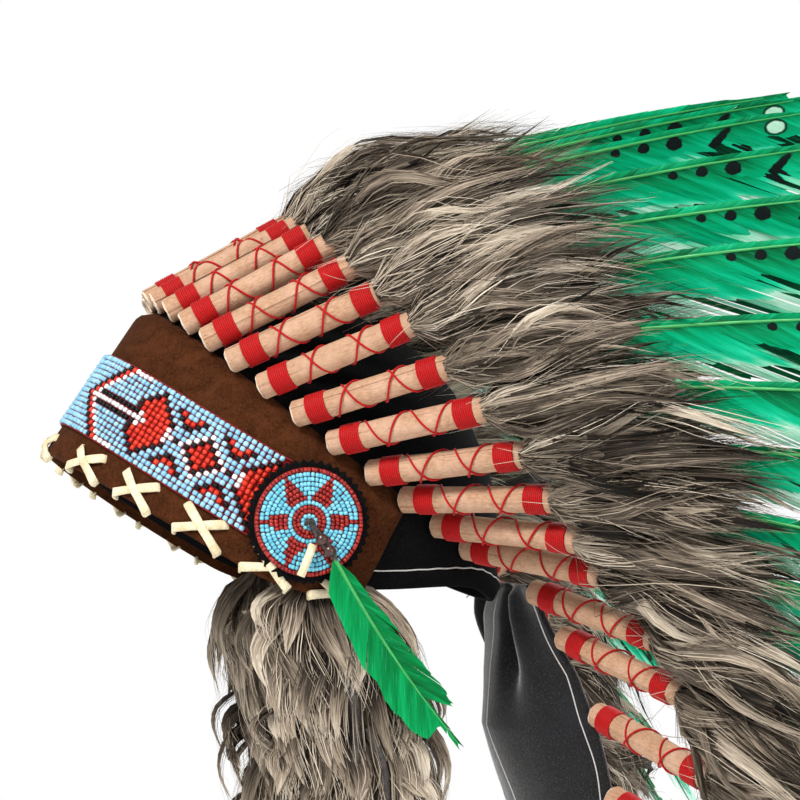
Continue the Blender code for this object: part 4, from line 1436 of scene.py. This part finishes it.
def tuft_strands(path, clumps, rng):
    """Loose hairs that start tight in the quill's end and follow their clumps."""
    count = TUFT_CLUMPS * TUFT_STRANDS
    clump = np.repeat(np.arange(TUFT_CLUMPS), TUFT_STRANDS)
    stray = (rng.uniform(0.0, 1.0, count) < STRAY_HAIRS)[:, None]
    share = HAIR_SHARES
    own = (clumps.length[clump] * rng.uniform(0.84, 1.10, count))[:, None] * share
    tight = 0.20 * (1.0 - 0.35 * smooth((share - 0.3) / 0.7)) * np.where(stray, 2.0, 1.0)
    loose = rng.normal(0.0, 1.0, (count, 2))[:, :, None] * tight[:, None]
    phase = rng.uniform(0.0, TAU, (count, 2))[:, :, None]
    ripple = 0.05 * np.sin(phase + share * 9.0) * (1.0 + 2.5 * stray)[:, None] * share
    middle, facing = tuft_lines(path, clumps, clump, own, loose, ripple)
    half = taper(STRAND_HALF * rng.uniform(0.7, 1.25, count))
    tone = clump_tone(clumps, clump) + 0.05 + rng.normal(0.0, 0.10, count)[:, None]
    return strand_grid(middle, facing, half), np.clip(tone, *HAIR_TONES)


def tuft_locks(path, clumps, rng):
    """The broad locks that the loose hairs follow."""
    clump = np.arange(TUFT_CLUMPS)
    share = HAIR_SHARES
    own = 0.94 * clumps.length[:, None] * share
    still = np.zeros((TUFT_CLUMPS, 2, HAIR_STEPS))
    middle, facing = tuft_lines(path, clumps, clump, own, still, still)
    half = lock_taper(LOCK_HALF * rng.uniform(0.7, 1.25, TUFT_CLUMPS))
    points, places = lock_grid(middle, facing, half, rng)
    return points, places, np.clip(clump_tone(clumps, clump), HAIR_TONES[0], TUFT_LOCK_TONE)


QUILL_WISPS = 8


def quill_wisps(path, rng):
    """Loose hairs that stray back over the quill's end."""
    share = HAIR_SHARES
    angle = rng.uniform(0.0, TAU, QUILL_WISPS)[:, None] + rng.normal(0.0, 0.9, QUILL_WISPS)[:, None] * share
    stations = QUILL_LENGTH + 0.004 - rng.uniform(0.008, 0.026, QUILL_WISPS)[:, None] * share
    lift = 0.0030 * rng.uniform(0.1, 1.0, QUILL_WISPS)[:, None] * share
    radius = QUILL_RADIUS * (0.7 + 0.5 * smooth(share / 0.2)) + lift
    middle = quill_surface(path, stations, angle, radius)
    half = taper(np.full(QUILL_WISPS, WISP_HALF))
    return strand_grid(middle, unit(middle - path.at(stations)), half)


def core_places(points, stations):
    """Surface coordinates of a body of hair: round it, and along it."""
    ring = np.linalg.norm(np.roll(points, -1, axis=1) - points, axis=-1).mean(axis=0)
    arc = np.concatenate([[0.0], np.cumsum(ring)])[:-1]
    return np.stack(np.broadcast_arrays(arc[None, :], stations[:, None]), axis=-1)


def tuft_core(path):
    """A dark body under the hair, painted shade for the tuft's inside, so that the tuft is never seen
    through.
    """
    stations = QUILL_LENGTH + FUR_LENGTH * np.array((-0.02, 0.03, 0.08, 0.16, 0.34, 0.52, 0.66, 0.76, 0.82))
    grow = np.array((0.26, 0.50, 0.82, 0.96, 1.00, 0.92, 0.66, 0.32, 0.03))
    angle = np.arange(12) * TAU / 12
    after, before = tuft_room(path, stations)
    across = path.read(path.across, stations)[:, None]
    outwards = path.read(path.outwards, stations)[:, None]
    cos, sin = np.cos(angle)[None, :], np.sin(angle)[None, :]
    width = np.where(cos > 0.0, after[:, None], before[:, None]) * cos * grow[:, None]
    depth = FUR_HALF_DEPTH * 0.9 * sin * grow[:, None]
    points = path.at(stations)[:, None] + across * width[..., None] + outwards * depth[..., None]
    return points, core_places(points, stations)


def build_tufts():
    """Fur tufts: loose hairs in one piece, and locks over a dark core of painted shade in another."""
    for number, path in enumerate(PATHS):
        rng = np.random.default_rng(TUFT_SEED + number)
        clumps = make_clumps(rng)
        soup, body = Soup(), Soup()
        grid, tone = tuft_strands(path, clumps, rng)
        soup.add(grid, tones=tone[..., None])
        points, places = tuft_core(path)
        # the core's low tone is painted shade inside the tuft
        body.add(points, places=places, tones=0.30, wrap=True)
        points, places, tone = tuft_locks(path, clumps, rng)
        body.add(points, places=places, tones=tone[..., None])
        soup.add(quill_wisps(path, rng), tones=0.70)
        build_for_plume(number, ("fur", soup, FUR, "taupe_fur"), ("fur_body", body, FUR_BODY, "taupe_fur"))


def vane_ways(along, turn):
    """Ways to a vane's wide side and to its face, for many ways along."""
    below = unit(along * along[..., 2:3] - UPWARDS)
    facing = np.cross(below, along)
    cos, sin = math.cos(turn), math.sin(turn)
    return below * cos - facing * sin, facing * cos + below * sin


# A vane's outline on either side of the shaft: share of the feather's length, and of its width
WIDE_SHARES = (
    (0.16, 0.25), (0.30, 0.72), (0.46, 0.95), (0.67, 1.0), (0.70, 0.80),
    (0.735, 1.0), (0.88, 0.92), (0.955, 0.72), (1.0, 0.42),
)
NARROW_SHARES = (
    (0.16, 0.30), (0.40, 0.75), (0.56, 1.0), (0.74, 0.95), (0.88, 0.90), (0.96, 0.75), (1.0, 0.40),
)
NARROW_PART = 0.42
# Vanes are broadest on the crown's plumes, and narrower from this number on
WIDEST = 0.033
LOWER_WIDEST = 0.024
LOWER_FROM = 11
# Width of the front layer of barbs against the whole vane, by the plume's number
FRONT_SHARES = (0.52, 0.42, 0.42, 0.45, 0.55, 0.62)
# How much nearer the root a plume's painted marks lie than the common place, by the plume's number
MARK_SHIFT = {0: 0.0094, 1: 0.0028, 2: -0.0019, 3: 0.0079, 4: -0.0038, 5: -0.0020}
BARB_SLANT = 1.75
BARB_STEP = 0.0022
# How far barbs may run past the end of the shaft's root line
BARB_PAST = 0.005


def panels(start, end, rng, low, high):
    """Splits a vane's root line into panels of barbs that lie together."""
    edges = [start]
    while edges[-1] < end:
        edges.append(edges[-1] + rng.uniform(low, high))
    edges[-1] = end
    return list(zip(edges[:-1], edges[1:]))


def add_vane(
    soup, frame_at, start, end, width_at, rng, sign, low, high, ragged, tone,
    lift=0.0, camber=0.12, slant=BARB_SLANT, marks=0.0,
):
    """One side of a vane as panels of barbs; frame_at gives place, below and facing."""
    for first, last in panels(start, end, rng, low, high):
        count = max(2, int(math.ceil((last - first) / BARB_STEP)) + 1)
        root = np.linspace(first, last, count)[:, None]
        share = np.linspace(0.0, 1.0, 6)[None, :]
        reach = width_at(np.minimum(root + slant * 0.01, end)) * (1.0 + rng.normal(0.0, ragged))
        reach = reach * (1.0 + rng.normal(0.0, ragged * 0.35, (count, 1)))
        reach = reach * (1.0 + 0.5 * ragged * (root - first) / max(last - first, 1e-6))
        run = np.minimum(slant * reach * share ** 1.15, np.maximum(end + BARB_PAST - root, 0.0) * share)
        spread = rng.normal(0.0, 0.0006)
        station = root + run + spread * share ** 2
        depth = reach * share ** 0.96
        place, below, facing = frame_at(station)
        raised = lift * np.minimum(1.0, share * 3.0) + rng.normal(0.0, 0.0005) * share ** 2
        raised = raised - camber * depth * share
        points = place + below * (sign * depth)[..., None] + facing * raised[..., None]
        shade = tone(share, rng.normal(0.0, 1.0)) + rng.normal(0.0, 0.03, (count, 1))
        places = np.stack([station + marks, sign * depth], axis=-1)
        soup.add(points, places=places, tones=np.clip(shade, 0.0, 1.0))


SHAFT_SIDES = 8
SHAFT_ROWS = 30


def add_shaft(soup, frame_at, start, end, thick):
    """A tapered shaft, a little flattened."""
    stations = np.linspace(start, end, SHAFT_ROWS)
    place, below, facing = frame_at(stations)
    radius = thick * (1.0 - 0.80 * np.linspace(0.0, 1.0, SHAFT_ROWS) ** 1.2)
    cos, sin = round_ways(SHAFT_SIDES)
    ring = cos * below[:, None] + sin * facing[:, None] * 0.8
    points = place[:, None] + ring * radius[:, None, None]
    angle = np.arange(SHAFT_SIDES) * TAU / SHAFT_SIDES
    arc = np.broadcast_to(angle[None, :] * thick, points.shape[:2])
    places = np.stack([arc, np.broadcast_to(stations[:, None], arc.shape)], axis=-1)
    soup.add(points, places=places, wrap=True)


def front_tone(share, chance):
    """Green barbs, a little darker by the shaft as painted shade, and paler at their ends."""
    edge = 0.18 * smooth((share - 0.86) / 0.14)
    # the last term is painted shade by the shaft
    return 0.41 + 0.05 * chance + 0.25 * share + edge - 0.14 * (1.0 - share) ** 3


def back_tone(share, chance):
    """Pale barbs; some panels dark, painted shade for the notches, and all darker by the shaft, painted shade
    under the front layer.
    """
    # dark panels: painted shade for notches in the vane
    pale = 0.16 if chance < -0.7 else 0.94 + 0.10 * chance
    # painted shade by the shaft, where the front layer lies over these barbs
    return pale - 0.5 * (1.0 - smooth((share - 0.30) / 0.18))


def drop_tone(share, chance):
    return 0.40 + 0.04 * chance + 0.10 * share ** 2


def narrow_tone(share, chance):
    return 0.30 + 0.05 * chance + 0.08 * share


def width_table(table, scale, start, length):
    """Widths of a vane at any stations, from a table of shares of its length."""
    shares, widths = np.array(table).T
    return lambda station: np.interp((station - start) / length, shares, widths * scale)


def build_feathers():
    """Vanes and shafts of the long plumes."""
    start = QUILL_LENGTH + 0.16 * FEATHER_LENGTH
    end = QUILL_LENGTH + FEATHER_LENGTH
    wide_share = width_table(WIDE_SHARES, 1.0, QUILL_LENGTH, FEATHER_LENGTH)
    narrow = width_table(NARROW_SHARES, NARROW_PART * VANE_NARROW, QUILL_LENGTH, FEATHER_LENGTH)
    for number, path in enumerate(PATHS):
        rng = np.random.default_rng(FEATHER_SEED + number)
        turn = VANE_TURN if number else 0.0
        spread = 2.0 * path.half_after * 1.12
        widest = WIDEST if number < LOWER_FROM else LOWER_WIDEST
        layer = FRONT_SHARES[min(number, len(FRONT_SHARES) - 1)]
        marks = MARK_SHIFT.get(number, 0.0)

        def frame_at(station):
            below, facing = vane_ways(path.along(station), turn)
            return path.at(station), below, facing

        def wide(at):
            return wide_share(at) * np.clip(np.interp(at, path.stations, spread), VANE_WIDE, widest)

        def front(at):
            return layer * wide(at)

        vane, shaft = Soup(), Soup()
        add_vane(vane, frame_at, start, end, front, rng, 1.0, 0.008, 0.028, 0.085, front_tone, marks=marks)
        add_vane(vane, frame_at, start, end, wide, rng, 1.0, 0.003, 0.008, 0.06, back_tone, lift=-0.0007)
        add_vane(
            vane, frame_at, start, end, narrow, rng, -1.0, 0.010, 0.030, 0.05, narrow_tone,
            camber=0.25, slant=2.2,
        )
        add_shaft(shaft, frame_at, QUILL_LENGTH + 0.05 * FEATHER_LENGTH, end - 0.010, 0.0010)
        build_for_plume(
            number,
            ("vane", vane, FEATHER, "green_feather"),
            ("shaft", shaft, SHAFT, "green_feather"),
        )


STITCH_RADIUS = 0.00030
# Pleats at the trailer's top: place across, height and width
PLEATS = ((0.45, 0.0120, 0.09), (-0.45, 0.0120, 0.09), (0.66, -0.004, 0.10), (-0.66, -0.004, 0.10))


def build_trailer():
    """The hanging felt panel, pinched at its top, with stitch lines."""
    across = np.concatenate([[-1.0, -0.985], np.linspace(-0.95, 0.95, 61), [0.985, 1.0]])
    down = np.linspace(0.0, 1.0, 49)
    grids = [np.array([trailer_surface(across, share, wall) for share in down]) for wall in (FELT_WALL, 0.0)]
    soup = Soup()
    slab(soup, *grids, wrap=False)
    cloth = soup.build("trailer_felt", SHEEN_PAINTED_FELT, "black_felt", replaces=["trailer"], closed=True)

    stitches = Soup()
    for side in (-1.0, 1.0):
        for inset in (0.955, 0.16):
            share = np.linspace(0.03, 0.99, 60)
            wobble = 0.006 * np.sin(share * 21.0 + inset * 40.0)
            for wall, lift in ((FELT_WALL, 0.00016), (0.0, -0.00016)):
                line = [
                    trailer_surface(np.array([side * (inset + move)]), at, wall + lift)[0]
                    for at, move in zip(share, wobble)
                ]
                stitches.add(tube(line, STITCH_RADIUS, sides=4), wrap=True)
    thread = stitches.build("trailer_stitches", PALE_THREAD, "thread")


def trailer_surface(across, down, wall):
    """The panel's surface: the plain curve with a pleat pinched at the top and slow folds."""
    points = trailer_point(across, down)
    pinch = math.exp(-((down - 0.10) / 0.22) ** 2)
    for middle, height, width in PLEATS:
        away = (across - middle - 0.10 * down * math.copysign(1.0, middle)) / width
        points[..., 1] += height * pinch * np.exp(-away ** 2) * smooth(down / 0.05)
    points[..., 1] += 0.0016 * np.sin(3.0 * across + 7.0 * down) * smooth(down / 0.2)
    points[..., 1] += wall
    return points


def drop_hang():
    out = FELT_WALL + BEADWORK_WALL + ROSETTE_BEAD_DOME + 2.0 * CLEARANCE + 0.5 * THONG_THICKNESS
    return rosette_plane() + np.array((out, 0.0, 0.0))


def drop_direction():
    return np.array((0.0, math.sin(DROP_LEAN), -math.cos(DROP_LEAN)))


def drop_bead_centre(index):
    pitch = 2.0 * DROP_BEAD_RADIUS + CLEARANCE
    reach = THONG_LENGTH + CLEARANCE + DROP_BEAD_RADIUS + pitch * index
    lift = np.array((DROP_BEAD_RADIUS - 0.5 * THONG_THICKNESS, 0.0, 0.0))
    return drop_hang() + drop_direction() * reach + lift


# How much of a wooden bead's length is left at its flat ends, and its hole's radius
WOOD_PART = 0.93
WOOD_HOLE = 0.0009


def build_drops():
    for side, seed in DROP_SEEDS.items():
        build_drop(side, side == "right", np.random.default_rng(seed))


def build_drop(side, mirror, rng):
    """A drop: thong, two wooden beads, a green feather and a hank of fur with suede strips."""
    along = drop_direction()
    thong = Soup()
    start = drop_hang() + np.array((0.0008, 0.0, 0.0))
    share = np.linspace(0.0, 1.0, 12)[:, None]
    beads_end = drop_bead_centre(1) + along * (DROP_BEAD_RADIUS + 0.002)
    for bow in (0.0010, -0.0011):
        line = start + (beads_end - start) * share
        line = line + np.array((0.0006, bow, 0.3 * bow)) * np.sin(np.pi * share)
        thong.add(tube(line, 0.00095, sides=7, flat=0.7), wrap=True)
    turn = share[:, 0] * TAU
    loop = (0.0010 * np.cos(turn), 0.0016 * np.sin(turn), 0.0009 * np.cos(share[:, 0] * 2.0 * TAU))
    thong.add(tube(start + np.stack(loop, axis=-1), 0.0009, sides=7), wrap=True)
    thong.build(f"thong_{side}", GREY_LEATHER, "grey_leather", mirror=mirror, replaces=[f"drop_thong_{side}"])

    tag = Soup()
    tag_top = drop_bead_centre(0) + np.array((-0.001, -0.0035, -0.002))
    tag_line = tag_top + np.array((0.0, -0.0050, -0.0125)) * share
    tag_line = tag_line + np.array((0.001, 0.0, 0.0)) * np.sin(np.pi * share)
    tag.add(tube(tag_line, 0.0019, sides=6, flat=0.35), wrap=True)
    tag.build(f"thong_end_{side}", CREAM_LEATHER, "cream_leather", mirror=mirror)

    steps = np.linspace(-1.0, 1.0, 15)
    profile = np.sqrt(np.maximum(0.0, 1.0 - (steps * WOOD_PART) ** 2))
    profile = profile * (1.0 - 0.05 * np.abs(np.sin(steps * 9.0)))
    cos, sin = round_ways(20)
    ring = cos * SIDEWAYS + sin * np.cross(along, SIDEWAYS)
    for index in (0, 1):
        centre = drop_bead_centre(index)
        outer = centre + along * (steps * DROP_BEAD_RADIUS * WOOD_PART)[:, None, None]
        outer = outer + ring * (DROP_BEAD_RADIUS * 1.02 * profile)[:, None, None]
        inner = centre + along * (steps[::-1] * DROP_BEAD_RADIUS * WOOD_PART)[:, None, None]
        inner = inner + ring * WOOD_HOLE
        bead = Soup()
        bead.add(np.concatenate([outer, inner, outer[:1]]), wrap=True)
        name, node = f"wood_bead_{side}_{index + 1}", f"drop_bead_{side}_{index + 1}"
        bead.build(name, WOOD, "dark_wood", mirror=mirror, replaces=[node])

    build_drop_vane(side, mirror, rng)
    build_drop_hair(side, mirror, rng)


# The drop feather's outline: share of its length, and of its greatest width
DROP_WIDE = (
    (0.0, 0.50), (0.10, 0.72), (0.24, 0.80), (0.45, 1.0), (0.55, 0.86),
    (0.60, 1.0), (0.80, 0.98), (0.93, 0.7), (1.0, 0.10),
)
DROP_NARROW = ((0.0, 0.06), (0.20, 0.16), (0.40, 0.42), (0.60, 0.62), (0.80, 0.70), (0.93, 0.55), (1.0, 0.08))


def build_drop_vane(side, mirror, rng):
    """The drop's own feather, on a slightly bent shaft."""
    along = drop_direction()
    root = drop_bead_centre(1) + along * (DROP_BEAD_RADIUS + CLEARANCE)
    across = np.cross(SIDEWAYS, along)
    across = across * (-1.0 if across[1] > 0.0 else 1.0)

    def frame_at(station):
        station = np.asarray(station, float)
        bend = 0.0022 * np.sin(station / DROP_FEATHER_LENGTH * np.pi)
        place = root + along * station[..., None] + across * bend[..., None]
        shape = station.shape + (3,)
        return place, np.broadcast_to(across, shape), np.broadcast_to(SIDEWAYS, shape)

    vane, shaft = Soup(), Soup()
    end = DROP_FEATHER_LENGTH
    width = 1.28 * DROP_FEATHER_HALF_WIDTH
    wide = width_table(DROP_WIDE, width, 0.0, end)
    narrow = width_table(DROP_NARROW, width, 0.0, end)
    add_vane(vane, frame_at, 0.0, end, wide, rng, 1.0, 0.008, 0.026, 0.035, drop_tone, camber=0.10, slant=1.2)
    add_vane(
        vane, frame_at, 0.002, end, narrow, rng, -1.0, 0.003, 0.009, 0.10, narrow_tone,
        camber=0.05, slant=2.4,
    )
    add_shaft(shaft, frame_at, -0.004, end, 0.0009)
    node = f"drop_feather_{side}"
    vane.build(f"drop_vane_{side}", DROP_VANE, "green_feather", mirror=mirror, replaces=[node])
    shaft.build(f"drop_shaft_{side}", SHAFT, "green_feather", mirror=mirror)


HANK_CLUMPS = 135
HANK_STRANDS = 16
HANK_LOCK_HALF = 0.0048


def hank_spine(down):
    """Middle line, half width and half depth of the hanging fur at shares down its length."""
    hang = drop_bead_centre(0) - np.array((DROP_FUR_SETBACK + DROP_FUR_HALF_DEPTH, 0.0, 0.0))
    hang[2] = rosette_plane()[2] - ROSETTE_FELT_RADIUS - CLEARANCE
    back = np.interp(down, (0.0, 0.10, 0.32, 0.60, 1.0), (0.10, 0.22, 0.42, 0.62, 0.70)) - 0.10
    wide = np.interp(down, (0.0, 0.06, 0.20, 0.45, 0.85, 1.0), (0.34, 0.66, 0.90, 1.0, 0.98, 0.90))
    deep = np.interp(down, (0.0, 0.10, 0.32, 1.0), (0.30, 0.75, 1.0, 0.95))
    line = (hang[0], hang[1] + DROP_FUR_HALF_WIDTH * back, hang[2] - down * DROP_FUR_LENGTH)
    spine = np.stack(np.broadcast_arrays(*line), axis=-1)
    return spine, wide * DROP_FUR_HALF_WIDTH, deep * DROP_FUR_HALF_DEPTH


def hank_lines(clumps, clump, angle, start, length):
    """Lines of hair that lift off the hank and bend, and their facings."""
    share = HAIR_SHARES
    down = start[:, None] + length[:, None] * share
    spine, wide, deep = hank_spine(np.clip(down, 0.0, 1.2))
    spine[..., 2] -= np.minimum(down, 0.0) * DROP_FUR_LENGTH
    cos, sin = np.cos(angle)[:, None], np.sin(angle)[:, None]
    wave, bend = clumps["wave"][clump], clumps["bend"][clump][:, None]
    rise = 0.68 + 0.12 * smooth(share / 0.4)
    lifted = clumps["puff"][clump][:, None] * np.sin(share * 2.3)
    ripple = bend * (np.sin(wave[:, :1] + share * 5.5) - np.sin(wave[:, :1]))
    swing = bend * (np.sin(wave[:, 1:] + share * 4.5) - np.sin(wave[:, 1:]))
    swing = swing + clumps["sway"][clump][:, None] * share ** 1.3
    first = cos * wide * rise + cos * lifted * 1.2 + swing
    second = sin * deep * rise + sin * lifted + 0.5 * ripple
    middle = spine + np.stack([second, first, np.zeros_like(first)], axis=-1)
    flat = np.zeros_like(first)
    facing = unit(np.stack([sin + flat, 0.5 * cos + flat, 0.45 * share + flat], axis=-1))
    return middle, facing, down


def hank_tone(clumps, clump, down):
    """Dark where a clump starts, for dark roots and as painted shade under the clump above, and pale at its
    end and at the hank's top.
    """
    share = HAIR_SHARES
    pale_top = 0.20 * np.exp(-((down + 0.02) / 0.14) ** 2)
    # low tone at each clump's start: dark roots and painted shade
    return 0.10 + 0.66 * share ** 1.1 + clumps["tint"][clump][:, None] + pale_top


def build_drop_hair(side, mirror, rng):
    """The hank of fur: loose hairs, and locks over a core, with two suede strips before it."""
    clumps = {
        "angle": rng.uniform(0.0, TAU, HANK_CLUMPS),
        "start": rng.beta(0.95, 1.25, HANK_CLUMPS) * 0.80 - 0.04,
        "length": rng.uniform(0.16, 0.34, HANK_CLUMPS),
        "wave": rng.uniform(0.0, TAU, (HANK_CLUMPS, 2)),
        "sway": rng.normal(0.0, 0.0042, HANK_CLUMPS),
        "puff": rng.uniform(0.003, 0.0090, HANK_CLUMPS),
        "bend": rng.uniform(0.0004, 0.0026, HANK_CLUMPS),
        "tint": rng.normal(0.0, 0.12, HANK_CLUMPS),
    }
    count = HANK_CLUMPS * HANK_STRANDS
    clump = np.repeat(np.arange(HANK_CLUMPS), HANK_STRANDS)
    angle = clumps["angle"][clump] + rng.normal(0.0, 0.15, count)
    start = clumps["start"][clump] + rng.normal(0.0, 0.015, count)
    length = np.minimum(clumps["length"][clump] * rng.uniform(0.75, 1.20, count), 1.05 - start)
    middle, facing, down = hank_lines(clumps, clump, angle, start, length)
    half = taper(HANK_STRAND_HALF * rng.uniform(0.7, 1.3, count))
    tone = hank_tone(clumps, clump, down) + 0.04 + rng.normal(0.0, 0.11, count)[:, None]
    soup = Soup()
    soup.add(strand_grid(middle, facing, half), tones=np.clip(tone, *HAIR_TONES)[..., None])
    every = np.arange(HANK_CLUMPS)
    length = np.minimum(0.92 * clumps["length"], 1.02 - clumps["start"])
    middle, facing, down = hank_lines(clumps, every, clumps["angle"], clumps["start"], length)
    half = lock_taper(HANK_LOCK_HALF * rng.uniform(0.7, 1.3, HANK_CLUMPS))
    lock_points, lock_places = lock_grid(middle, facing, half, rng)
    lock_tones = np.clip(hank_tone(clumps, every, down), HAIR_TONES[0], HANK_LOCK_TONE)[..., None]
    rows = np.linspace(0.0, 0.98, 14)
    grow = np.interp(rows, (0.0, 0.1, 0.85, 0.98), (0.3, 0.8, 0.8, 0.1))
    spine, wide, deep = hank_spine(rows)
    turn = np.arange(16) * TAU / 16
    deep_ring = np.sin(turn)[None] * (deep * grow)[:, None]
    wide_ring = np.cos(turn)[None] * (wide * grow)[:, None]
    ring = np.stack([deep_ring, wide_ring, np.zeros_like(deep_ring)], axis=-1)
    soup.build(f"drop_hair_{side}", FUR, "taupe_fur", mirror=mirror, replaces=[f"drop_fur_{side}"])
    body = Soup()
    points = spine[:, None] + ring
    # the core's low tone is painted shade inside the hank
    body.add(points, places=core_places(points, rows * DROP_FUR_LENGTH), tones=0.25, wrap=True)
    body.add(lock_points, places=lock_places, tones=lock_tones)
    body.build(f"drop_hair_body_{side}", FUR_BODY, "taupe_fur", mirror=mirror)

    strips = Soup()
    for low, high, shift, swing in ((0.20, 0.62, -0.06, 0.10), (0.45, 1.02, 0.16, 0.08)):
        down = np.linspace(low, high, 16)
        spine, wide, deep = hank_spine(down)
        sway = wide * (shift + swing * np.sin((down - low) * 9.0))
        line = spine + np.stack([deep * 1.02 + 0.0012, sway, np.zeros_like(down)], axis=-1)
        strips.add(tube(line, 0.0021, sides=6, flat=0.30), wrap=True)
    strips.build(f"drop_strips_{side}", GREY_LEATHER, "grey_leather", mirror=mirror)


def build_cap_stitches():
    """The pale stitch line above the cap's hem."""
    soup = Soup()
    around = np.arange(-178.0, 178.0, 3.0)
    height = rim(around) + CAP_INSET + 0.0086 + 0.0002 * np.sin(around)
    path = crown(around, height, CAP_WALL + 0.0002)
    soup.add(tube(path, STITCH_RADIUS, sides=4), wrap=True)
    soup.build("cap_stitches", PALE_THREAD, "thread")


def main():
    add_camera()
    add_studio()
    build_cap()
    build_cap_stitches()
    build_brow_band()
    build_bead_band()
    build_lacing()
    build_rosettes()
    build_quills()
    build_tufts()
    build_feathers()
    build_trailer()
    build_drops()


main()
